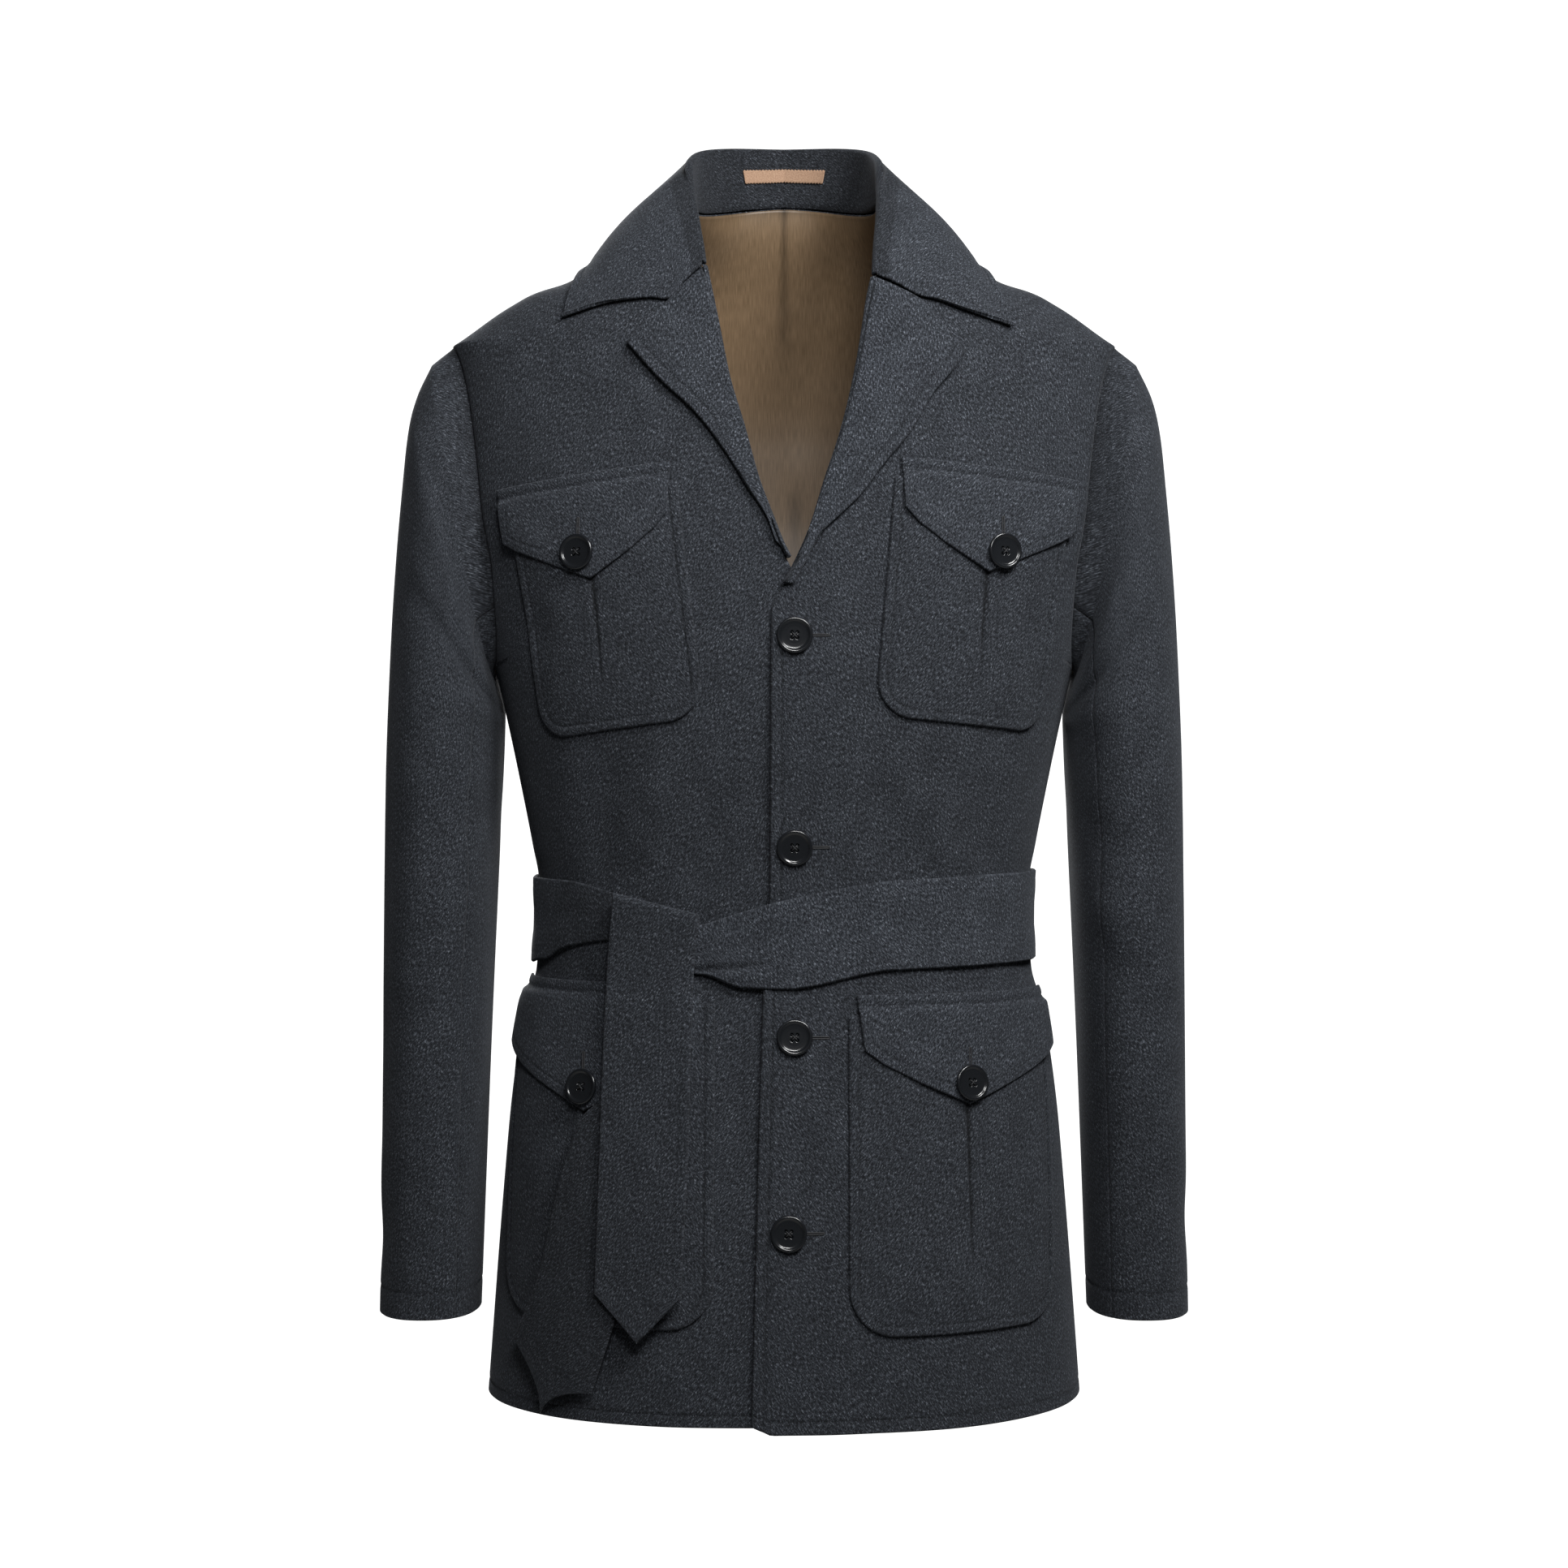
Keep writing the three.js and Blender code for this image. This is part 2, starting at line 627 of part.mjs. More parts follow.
function bodyGap(point) {
  const fill = p => {
    const depth = p.y < 0 ? frontDepthAt(p.z) : backDepthAt(p.z);
    const across = (Math.abs(p.x) / halfWidthAt(p.z)) ** SQUARENESS;
    return (across + (Math.abs(p.y) / depth) ** SQUARENESS) ** (1 / SQUARENESS) - 1;
  };
  const step = 0.5;
  const slope = new THREE.Vector3(
    fill(point.clone().setX(point.x + step)) - fill(point.clone().setX(point.x - step)),
    fill(point.clone().setY(point.y + step)) - fill(point.clone().setY(point.y - step)),
    fill(point.clone().setZ(point.z + step)) - fill(point.clone().setZ(point.z - step)),
  ).divideScalar(2 * step);
  const steepness = slope.length();
  return { gap: fill(point) / steepness, way: slope.divideScalar(steepness) };
}

// Moves a point of the leaf out where it would lie closer to the body than this
function clearOfBody(point, least) {
  for (let i = 0; i < 4; i++) {
    const { gap, way } = bodyGap(point);
    if (gap >= least) return point;
    point.addScaledVector(way, least - gap);
  }
  return point;
}

// Where the stand starts on the neck edge, where its roll turns, and the directions up and out at a station
function collarFrame(side, station) {
  const rows = COLLAR[side];
  const read = name => curveThrough(rows, 'station', name)(station);
  const panelEdgeX = curveThrough(FRONT_EDGE[side], 'z', 'x');
  const seamAt = s => {
    const z = curveThrough(rows, 'station', 'seamZ')(s);
    if (s <= SHOULDER_STATION) return { angle: frontAngle(panelEdgeX(z), z), z };
    return { angle: Math.PI / 2 * backSeamAt(s), z };
  };
  const here = seamAt(station);
  const seam = onBody(here.angle, here.z, 0);
  const normal = bodyNormal(here.angle, here.z);
  const before = seamAt(Math.max(station - 0.05, 0));
  const after = seamAt(Math.min(station + 0.05, COLLAR_STATIONS));
  const along = onBody(after.angle, after.z, 0).sub(onBody(before.angle, before.z, 0)).normalize();
  const fold = new THREE.Vector3(read('foldX'), read('foldY'), read('foldZ'));
  if (station < 1) {
    const onSurface = onBody(frontAngle(fold.x, fold.z), fold.z, 0);
    fold.lerp(onSurface, 1 - station);
  }
  const up = fold.clone().sub(seam).normalize();
  const out = normal.clone().addScaledVector(up, -normal.dot(up)).normalize();
  const intoNeck = normal.clone().cross(along).normalize();
  if (intoNeck.dot(up) < 0) intoNeck.negate();
  const rise = STAND_RISE / Math.max(up.dot(intoNeck), STAND_LEAST_SLOPE);
  const base = seam.clone().addScaledVector(out, -COLLAR_CLOTH / 2).addScaledVector(up, rise);
  const turn = fold.clone()
    .addScaledVector(up, -ROLL_RADIUS - COLLAR_CLOTH / 2)
    .addScaledVector(out, ROLL_SHIFT);
  const edge = new THREE.Vector3(read('edgeX'), read('edgeY'), read('edgeZ'));
  return { base, turn, up, out, edge };
}

function rollPoint(frame, degrees, radius) {
  const t = degrees * Math.PI / 180;
  return frame.turn.clone()
    .addScaledVector(frame.out, -radius * Math.cos(t))
    .addScaledVector(frame.up, radius * Math.sin(t));
}

const STAND_ROLL_TURNS = [0, 60, 120, 180];
const LEAF_COLUMNS = [0.16, 0.36, 0.6, 0.82, 1];
const LEAF_START = 2 + STAND_ROLL_TURNS.length;

// The middle of the collar's wall at a station, from the neck seam over the roll to the leaf's edge
function collarSection(side, station) {
  const frame = collarFrame(side, station);
  const start = rollPoint(frame, 180, ROLL_RADIUS);
  const inner = rollPoint(frame, 0, ROLL_RADIUS);
  const front = pathThrough(COLLAR_FRONT[side], ['x', 'z', 'lift']);
  const first = station > 0 ? collarFrame(side, 0) : frame;
  const firstStart = rollPoint(first, 180, ROLL_RADIUS);
  const near = (1 - Math.min(station / FRONT_BLEND, 1)) ** 2;
  const leaf = LEAF_COLUMNS.map(u => {
    const point = start.clone().lerp(frame.edge, u);
    point.addScaledVector(frame.out, LEAF_BULGE * Math.sin(Math.PI * u) * (1 - smooth(4, 6, station)));
    if (near > 0) {
      const spot = front(u);
      const shown = onBody(frontAngle(spot.x, spot.z), spot.z, spot.lift);
      const straight = firstStart.clone().lerp(first.edge, u);
      straight.addScaledVector(first.out, LEAF_BULGE * Math.sin(Math.PI * u));
      point.addScaledVector(shown.sub(straight), near);
    }
    return station > 0 ? clearOfBody(point, COLLAR_CLOTH / 2 + LEAF_CLEAR) : point;
  });
  const middle = frame.base.clone().lerp(inner, 0.5);
  const rolled = STAND_ROLL_TURNS.map(turn => rollPoint(frame, turn, ROLL_RADIUS));
  return [frame.base, middle, ...rolled, ...leaf];
}

function collar() {
  const stations = spread(0, COLLAR_STATIONS, COLLAR_STEPS);
  const halves = {};
  for (const side of ['right', 'left']) {
    halves[side] = stations.map(station => collarSection(side, station).map(point => toSide(side, point)));
  }
  const sections = [...halves.right, ...halves.left.slice(0, -1).reverse()];
  const normals = gridNormals(sections);
  const ends = [[0, 1], [sections.length - 1, sections.length - 2]];
  for (const [end, next] of ends) {
    const away = sections[next][LEAF_START].clone().sub(sections[end][LEAF_START]).normalize();
    for (const point of sections[end]) point.addScaledVector(away, COLLAR_END_SHIFT);
  }
  return wallBetween(
    movedOut(sections, normals, COLLAR_CLOTH / 2),
    movedOut(sections, normals, -COLLAR_CLOTH / 2),
  );
}

// A point on the inside of the collar stand, moved towards the neck
function insideStand(side, station, height, away) {
  const frame = collarFrame(side, station);
  const inner = rollPoint(frame, 0, ROLL_RADIUS);
  const point = frame.base.clone().lerp(inner, height);
  point.addScaledVector(frame.out, -COLLAR_CLOTH / 2 - away);
  return toSide(side, point);
}

function hangerTape() {
  const half = spread(0, COLLAR_STATIONS, COLLAR_STEPS).slice(-TAPE_STEPS - 1);
  const layer = extra => spread(TAPE_LOW, TAPE_HIGH, 1).map(height => {
    const right = half.map(station => insideStand('right', station, height, TAPE_GAP + extra));
    const left = half.slice(0, -1).map(station => insideStand('left', station, height, TAPE_GAP + extra));
    return [...right, ...left.reverse()];
  });
  return wallBetween(layer(0), layer(TAPE_CLOTH));
}

// Sleeves

const sleeveCurves = Object.fromEntries(
  ['outerX', 'outerZ', 'innerX', 'innerZ', 'halfDepth', 'middleY'].map(
    name => [name, curveThrough(SLEEVE, 'ring', name)],
  ),
);

function rounded(value) {
  return Math.sign(value) * Math.abs(value) ** SLEEVE_ROUND;
}

// The armhole's edge moved off the panels by the seam's gap, and out where the sleeve turns down under it
function sleeveTop(turn) {
  const half = Math.sin(turn) >= 0 ? 'front' : 'back';
  const spot = armhole(turn, half);
  const point = onBody(spot.angle, spot.z, 0);
  const normal = bodyNormal(spot.angle, spot.z);
  const centre = onBody(0, (SHOULDER_Z + ARMPIT_Z) / 2, 0);
  const before = armhole(turn - 0.02, Math.sin(turn - 0.02) >= 0 ? 'front' : 'back');
  const after = armhole(turn + 0.02, Math.sin(turn + 0.02) >= 0 ? 'front' : 'back');
  const along = onBody(after.angle, after.z, 0).sub(onBody(before.angle, before.z, 0)).normalize();
  const away = normal.clone().cross(along).normalize();
  if (away.dot(centre.sub(point)) < 0) away.negate();
  point.addScaledVector(away, ARMHOLE_GAP);
  return point.addScaledVector(normal, UNDERARM_OUT * smooth(0.2, 0.8, -Math.cos(turn)));
}

// A point of the sleeve: turn 0 is its outer edge, 90 degrees its front, 180 its inner edge
function sleevePoint(ring, turn) {
  const at = name => sleeveCurves[name](Math.max(ring, 1));
  const up = rounded(Math.cos(turn));
  const x = (at('outerX') + at('innerX')) / 2 + up * (at('outerX') - at('innerX')) / 2;
  const z = (at('outerZ') + at('innerZ')) / 2 + up * (at('outerZ') - at('innerZ')) / 2;
  const point = new THREE.Vector3(x, at('middleY') - rounded(Math.sin(turn)) * at('halfDepth'), z);
  return ring < 1 ? sleeveTop(turn).lerp(point, ring) : point;
}

function sleeveNormal(ring, turn) {
  const step = 0.02;
  const low = Math.max(ring - step, 0);
  const high = Math.min(ring + step, SLEEVE_RINGS.at(-1));
  const round = sleevePoint(ring, turn + step).sub(sleevePoint(ring, turn - step));
  const down = sleevePoint(high, turn).sub(sleevePoint(low, turn));
  return round.cross(down).normalize();
}

function sleevePiece(side, from, to) {
  const step = 180 / ARMHOLE_ROWS;
  const inside = spread(-360, 360, 720 / step).filter(turn => turn > from && turn < to);
  const turns = [from, ...inside, to].map(turn => turn * Math.PI / 180);
  turns[0] += SLEEVE_SEAM_TURN;
  turns[turns.length - 1] -= SLEEVE_SEAM_TURN;
  const layer = out => SLEEVE_RINGS.map(ring => turns.map(turn => (
    toSide(side, sleevePoint(ring, turn).addScaledVector(sleeveNormal(ring, turn), out))
  )));
  return wallBetween(layer(0), layer(-CLOTH));
}

// Pockets

function pocketFrame(pocket) {
  const start = lengthAt(pocket.topX, pocket.topZ);
  const tilt = pocket.tilt * Math.PI / 180;
  return (across, down, out) => {
    const length = start + across * Math.cos(tilt) - down * Math.sin(tilt);
    const z = pocket.topZ - across * Math.sin(tilt) - down * Math.cos(tilt);
    return onFrontAngle(pocket.side, angleAlong(length, z), z, out);
  };
}

function pocketPatch(pocket) {
  const place = pocketFrame(pocket);
  const slitAt = pocket.tipAt * pocket.flapWidth;
  const { patchFrom, patchTo, patchDepth, cornerRadius, tipDepth, slit } = pocket;
  const slitEnd = tipDepth + slit;
  const downs = [
    PATCH_TOP, tipDepth / 2, tipDepth - 4, tipDepth + slit * 0.5, slitEnd,
    patchDepth - cornerRadius, patchDepth - cornerRadius * 0.5, patchDepth - cornerRadius * 0.14,
    patchDepth,
  ];
  const shares = [-1, -0.78, -0.56, -0.34, 'before', 'slit', 'after', 0.2, 0.4, 0.6, 0.8, 1];
  const middle = (patchFrom + patchTo) / 2;
  const half = (patchTo - patchFrom) / 2;
  const acrossAt = (share, down) => {
    const into = Math.max(down - (patchDepth - cornerRadius), 0);
    const narrow = cornerRadius - Math.sqrt(Math.max(cornerRadius ** 2 - into ** 2, 0));
    if (share === 'before') return slitAt - SLIT_HALF_WIDTH;
    if (share === 'slit') return slitAt;
    if (share === 'after') return slitAt + SLIT_HALF_WIDTH;
    return middle + share * (half - narrow);
  };
  const layer = out => downs.map(down => shares.map(share => {
    const open = share === 'slit' && down < slitEnd - 1 && out > PATCH_GAP ? SLIT_DEPTH : 0;
    return place(acrossAt(share, down), down, out - open);
  }));
  return wallBetween(layer(PATCH_GAP + POCKET_CLOTH), layer(PATCH_GAP));
}

// Depth of the flap below its top edge, by the share of its width
function flapDepth(pocket, share) {
  const { cornerDepth, tipDepth, tipAt } = pocket;
  if (share < FLAP_CUT) return mix(cornerDepth - FLAP_CUT_INNER, cornerDepth, share / FLAP_CUT);
  if (share > 1 - FLAP_CUT) return mix(cornerDepth - FLAP_CUT_OUTER, cornerDepth, (1 - share) / FLAP_CUT);
  if (share < tipAt) return mix(cornerDepth, tipDepth, (share - FLAP_CUT) / (tipAt - FLAP_CUT));
  return mix(tipDepth, cornerDepth, (share - tipAt) / (1 - FLAP_CUT - tipAt));
}

const FLAP_OVER_PATCH = PATCH_GAP + POCKET_CLOTH + FLAP_CLEAR;

function flapLift(down, depth) {
  const over = smooth(FLAP_BAND, FLAP_STEP, down);
  return mix(PATCH_GAP, FLAP_OVER_PATCH, over) + FLAP_EDGE_LIFT * smooth(FLAP_STEP, depth, down);
}

function pocketFlap(pocket) {
  const place = pocketFrame(pocket);
  const shares = [0, FLAP_CUT, 0.17, 0.26, 0.37, pocket.tipAt, 0.58, 0.7, 0.81, 1 - FLAP_CUT, 1];
  const layer = extra => [0, 1, 2, 3, 4, 5].map(row => shares.map(share => {
    const depth = flapDepth(pocket, share);
    const down = [0, FLAP_BAND, FLAP_STEP][row] ?? mix(FLAP_STEP, depth, [0.4, 0.75, 1][row - 3]);
    const lean = down / pocket.cornerDepth;
    const inner = FLAP_LEAN_INNER * lean * Math.max(1 - share / 0.26, 0);
    const outer = FLAP_LEAN_OUTER * lean * Math.max((share - 0.7) / 0.3, 0);
    return place(share * pocket.flapWidth + inner - outer, down, flapLift(down, depth) + extra);
  }));
  return wallBetween(layer(POCKET_CLOTH), layer(0));
}

// Buttons

const BUTTON_SIDES = 12;
const BUTTON_PROFILE = table('radius height', [
  [0, 0], [10.4, 0], [BUTTON_RADIUS, 1.6], [11.0, 3.1], [9.7, 3.1], [8.5, 2.1], [0, 1.9],
]);

function button() {
  const profile = BUTTON_PROFILE.map(row => new THREE.Vector2(row.radius, row.height));
  return new THREE.LatheGeometry(profile, BUTTON_SIDES);
}

function placeButton(mesh, seat, normal) {
  mesh.position.copy(seat);
  mesh.quaternion.setFromUnitVectors(new THREE.Vector3(0, 1, 0), normal);
}

// Belt

const beltTopAt = curveThrough(BELT, 'angle', 'top');
const beltBottomAt = curveThrough(BELT, 'angle', 'bottom');

// The belt climbs from the right front on to the left one that overlaps it
function beltLift(x) {
  return (CLOTH + LAP_GAP) * smooth(-52, -14, x) * (1 - smooth(24, 62, x));
}

function beltWaist() {
  const first = BELT[0].angle;
  const last = BELT.at(-1).angle;
  const angles = spread(first, last, BELT_COLUMNS);
  const layer = out => [0, 0.5, 1].map(share => angles.map(degrees => {
    const angle = degrees * Math.PI / 180;
    const z = mix(beltBottomAt(degrees), beltTopAt(degrees), share);
    const front = bodyPoint(angle, z);
    const lift = front.y < 0 ? beltLift(front.x) : 0;
    return onBody(angle, z, BELT_CLEAR + lift + out);
  }));
  return wallBetween(layer(BELT_CLOTH), layer(0));
}

function onRightFront(x, z, out) {
  return onFront('right', -x, z, out);
}

const TAIL_COLUMNS = [0, 0.25, 0.5, 0.75, 1];

function beltTailFront() {
  const leftAt = curveThrough(FRONT_TAIL, 'z', 'left');
  const rightAt = curveThrough(FRONT_TAIL, 'z', 'right');
  const foldZ = FRONT_TAIL[0].z;
  const endZ = FRONT_TAIL.at(-1).z;
  const bend = (FRONT_TAIL_LIFT - TAIL_HOOK_LIFT) / 2;
  const middle = (FRONT_TAIL_LIFT + TAIL_HOOK_LIFT) / 2;
  const hook = [[-TAIL_HOOK_DROP, 180], [0, 180], [0, 120], [0, 60], [0, 0]];
  const tipZ = endZ - FRONT_TAIL_TIP;
  const hanging = [-490, -507, -524, -542, -570, -610, -660, endZ, (endZ + tipZ) / 2, tipZ];
  const spot = (z, u, slope, out) => {
    const x = mix(leftAt(z), rightAt(z), u);
    return onRightFront(x, z + slope * FRONT_TAIL_SLOPE * (0.5 - u), out);
  };
  const layer = half => {
    const hooked = hook.map(([drop, turn]) => TAIL_COLUMNS.map(u => {
      const t = turn * Math.PI / 180;
      const z = foldZ - bend - BELT_CLOTH / 2 + drop + (bend + half) * Math.sin(t);
      return spot(z, u, 1, middle + (bend + half) * Math.cos(t));
    }));
    const hung = hanging.map(z => TAIL_COLUMNS.map(u => {
      const point = Math.abs(2 * u - 1);
      const past = Math.max(endZ - z, 0) * (1 - point);
      return spot(Math.max(z, endZ) - past, u, 1 - smooth(0, 60, foldZ - z), FRONT_TAIL_LIFT + half);
    }));
    return [...hooked, ...hung];
  };
  return wallBetween(layer(BELT_CLOTH / 2), layer(-BELT_CLOTH / 2));
}

function beltTailUnder() {
  const steps = UNDER_TAIL.map((row, i) => ({ ...row, step: i }));
  const at = name => curveThrough(steps, 'step', name);
  const [leftX, leftZ, rightX, rightZ] = ['leftX', 'leftZ', 'rightX', 'rightZ'].map(at);
  const last = UNDER_TAIL.length - 1;
  const layer = half => {
    const rows = spread(0, last, 12).map(step => TAIL_COLUMNS.map(u => {
      const x = mix(leftX(step), rightX(step), u);
      return onRightFront(x, mix(leftZ(step), rightZ(step), u), UNDER_TAIL_LIFT + half);
    }));
    const tip = TAIL_COLUMNS.map(u => {
      const inward = 1 - Math.abs(2 * u - 1);
      const x = mix(mix(leftX(last), rightX(last), u), UNDER_TAIL_TIP.x, inward);
      const z = mix(mix(leftZ(last), rightZ(last), u), UNDER_TAIL_TIP.z, inward);
      return onRightFront(x, z - 0.5, UNDER_TAIL_LIFT + half);
    });
    return [...rows, tip];
  };
  return wallBetween(layer(BELT_CLOTH / 2), layer(-BELT_CLOTH / 2));
}

// Materials

const plain = (color, roughness) => new THREE.MeshStandardMaterial({ color, roughness, metalness: 0 });
const flannel = () => plain('#3b3e43', 0.95);
const liningCloth = () => plain('#5f5140', 0.5);
const tapeCloth = () => plain('#b79780', 0.8);
const buttonStuff = () => plain('#1d1f22', 0.25);

// Assembly

const jacket = new THREE.Group();

function add(name, geometry, material) {
  const mesh = new THREE.Mesh(geometry, material);
  mesh.name = name;
  jacket.add(mesh);
  return mesh;
}

add('back', backPanel(), flannel());
add('lining_back', backLining(), liningCloth());
for (const side of ['left', 'right']) {
  add(`front_${side}`, frontPanel(side), flannel());
  add(`lapel_${side}`, lapel(side), flannel());
  add(
    `sleeve_${side}_top`,
    sleevePiece(side, BACK_SLEEVE_SEAM - 360, FRONT_SLEEVE_SEAM),
    flannel(),
  );
  add(
    `sleeve_${side}_under`,
    sleevePiece(side, FRONT_SLEEVE_SEAM, BACK_SLEEVE_SEAM),
    flannel(),
  );
}
add('collar', collar(), flannel());
add('hanger_tape', hangerTape(), tapeCloth());

for (const pocket of POCKETS) {
  add(`pocket_${pocket.name}`, pocketPatch(pocket), flannel());
  add(`flap_${pocket.name}`, pocketFlap(pocket), flannel());
  const seat = FLAP_OVER_PATCH + POCKET_CLOTH + FLAP_EDGE_LIFT + BUTTON_SEAT;
  placeButton(
    add(`button_${pocket.name}`, button(), buttonStuff()),
    onFront(pocket.side, pocket.buttonX, pocket.buttonZ, seat),
    frontNormal(pocket.side, pocket.buttonX, pocket.buttonZ),
  );
}

FRONT_BUTTONS.forEach((row, i) => {
  placeButton(
    add(`button_front_${i + 1}`, button(), buttonStuff()),
    onFront('left', row.x, row.z, BUTTON_SEAT),
    frontNormal('left', row.x, row.z),
  );
});

add('belt_waist', beltWaist(), flannel());
add('belt_tail_front', beltTailFront(), flannel());
add('belt_tail_under', beltTailUnder(), flannel());

export default jacket;
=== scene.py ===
# Belted safari jacket in charcoal wool flannel, hollow and filled out as when it is worn.
# The forms are worked out in millimetres, +Z up, the front towards -Y, +X the wearer's left,
# and turned into metres where each mesh is made.

import math

import bpy
import mathutils
import numpy as np
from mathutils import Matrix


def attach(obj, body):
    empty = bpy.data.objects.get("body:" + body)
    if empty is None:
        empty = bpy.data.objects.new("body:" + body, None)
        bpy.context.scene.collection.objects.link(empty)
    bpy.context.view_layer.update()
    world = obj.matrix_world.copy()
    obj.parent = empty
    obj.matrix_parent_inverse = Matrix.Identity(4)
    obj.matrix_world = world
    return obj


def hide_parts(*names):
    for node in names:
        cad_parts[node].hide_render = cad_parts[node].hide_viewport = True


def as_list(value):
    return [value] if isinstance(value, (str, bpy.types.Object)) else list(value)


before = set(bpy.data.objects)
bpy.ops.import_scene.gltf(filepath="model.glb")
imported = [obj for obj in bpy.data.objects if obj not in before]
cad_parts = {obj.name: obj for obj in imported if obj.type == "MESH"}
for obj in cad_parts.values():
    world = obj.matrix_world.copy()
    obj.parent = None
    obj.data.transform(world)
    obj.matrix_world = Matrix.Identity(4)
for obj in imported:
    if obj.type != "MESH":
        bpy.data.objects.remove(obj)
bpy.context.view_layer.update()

MM = 0.001

# Cloth walls and the spaces between them
CLOTH = 2.0
COLLAR_CLOTH = 2.2
BELT_CLOTH = 2.2
POCKET_CLOTH = 1.8
LINING_CLOTH = 1.2
TAPE_CLOTH = 0.9
SEAM_GAP = 0.3
LAP_GAP = 0.8
PATCH_GAP = 0.8

# Heights that the panels share
HEM_Z = -796
ARMPIT_Z = -315
SHOULDER_Z = -105
BREAK_Z = -285
BACK_NECK_Z = 15
WAIST_Z = -431
LEVELS = [HEM_Z, -750, -700, -650, -600, -565, -540, -524, -510, -482, -455, WAIST_Z, -400, -357, ARMPIT_Z]
ARMHOLE_ROWS = 12
NECK_ROWS = 3

# The body's cross-section is a rounded oblong: 2 would be an ellipse
SQUARENESS = 2.25

# The straight line of the padded shoulder: where it starts beside the collar, and how far it falls
SHOULDER_START_X = 146.7
SHOULDER_START_Z = -46.5
SHOULDER_SLOPE = 0.595
SHOULDER_DROOP = 3.6

# Spacing of the meshes' rows and columns
PANEL_STEP = 3.2
SMALL_STEP = 2.4


def table(columns, rows):
    values = np.array(rows, float)
    return {name: values[:, i] for i, name in enumerate(columns.split())}


# A row for each level of the body: half its width, and how far front and back stand from the side seams
BODY = table("z half_width front back", [
    [15, 60, 42, 75],
    [0, 64.5, 45, 78],
    [-50, 141, 70, 98],
    [-105, 224, 86, 112],
    [-150, 224, 98, 117],
    [-200, 222, 108, 118],
    [-250, 212, 115, 115],
    [-300, 198, 118, 111],
    [-343, 187.5, 117, 106],
    [-400, 175.5, 111, 99],
    [-431, 169.5, 107, 95],
    [-455, 165.4, 105, 93],
    [-480, 165.2, 104, 92],
    [-512, 166.8, 105, 95],
    [-540, 174.5, 109, 99],
    [-600, 183.5, 119, 114],
    [-650, 188, 127, 125],
    [-700, 192, 133, 133],
    [-750, 195.7, 138, 140],
    [-796, 199, 142, 145],
])

# The inner edge of each front from the hem up: front edge, lapel fold set back for the roll, neck seam
FRONT_EDGE = {
    "left": table("z x", [
        [-796, -20], [-664, -17], [-520, -13], [-459, -9], [-290, -8], [-279, -7.5], [-270, -3],
        [-260, 4.5], [-249.5, 10.3], [-228, 19.5], [-197, 29], [-166, 39.2], [-134, 47], [-108, 52],
        [-75, 57], [-61, 60.1], [-45, 62.6], [-25, 64.2], [-10, 64.6], [0, 64.5],
    ]),
    "right": table("z x", [
        [-791.5, -20], [-664, -20], [-459, -20], [-290, -20], [-276, -16], [-260, -8], [-246, -1],
        [-226, 8], [-195, 19.4], [-161, 28.8], [-129, 38.2], [-91, 45.8], [-53, 53.6],
        [-25, 60.6], [-10, 63.4], [0, 64.5],
    ]),
}

# The visible fold of each lapel, from its lower end up to the collar seam
LAPEL_FOLD = {
    "left": table("z x", [
        [-263, -0.5], [-249.5, 6.7], [-228, 16], [-197, 25.5], [-166, 35.6], [-134, 43.5],
        [-108, 48.4], [-75, 53.5], [-61, 56.5],
    ]),
    "right": table("z x", [
        [-246, -4.5], [-236, 0.5], [-226, 4.4], [-195, 16], [-161, 25.3], [-129, 34.7], [-91, 42.3],
        [-53, 50],
    ]),
}

# The free edge of each lapel, from its lower end up to the corner below the notch
LAPEL_EDGE = {
    "left": table("x z", [
        [6, -264], [13, -251], [24, -231], [36, -219], [48, -207], [62, -188], [79, -167], [95, -140],
        [109.5, -122], [116, -111],
    ]),
    "right": table("x z", [
        [5.5, -236], [11, -221], [23, -202], [37, -179], [56, -153.5], [80, -130], [101, -105.5],
    ]),
}

# The top of each lapel: the collar seam as far as the notch, then the free top edge to the corner
LAPEL_TOP = {
    "left": table("x z", [[56.5, -61], [72, -67.5], [88, -76], [94, -82], [105.5, -97], [116, -111]]),
    "right": table("x z", [[50, -53], [63, -65], [76, -78.5], [88, -90], [101, -105.5]]),
}

# The front edge of each collar leaf: the seam from the fold to the notch, then the free edge to the tip
COLLAR_FRONT = {
    "left": table("x z lift", [
        [56.5, -61, 3.3], [72, -67.5, 2.9], [88, -76, 2.6], [97, -78, 3.0], [116.5, -85, 3.8],
        [149, -95, 4.6],
    ]),
    "right": table("x z lift", [
        [50, -53, 3.3], [63, -65, 2.9], [76, -78.5, 2.6], [86, -77.3, 3.0], [112, -80, 3.8],
        [144, -88.5, 4.6],
    ]),
}

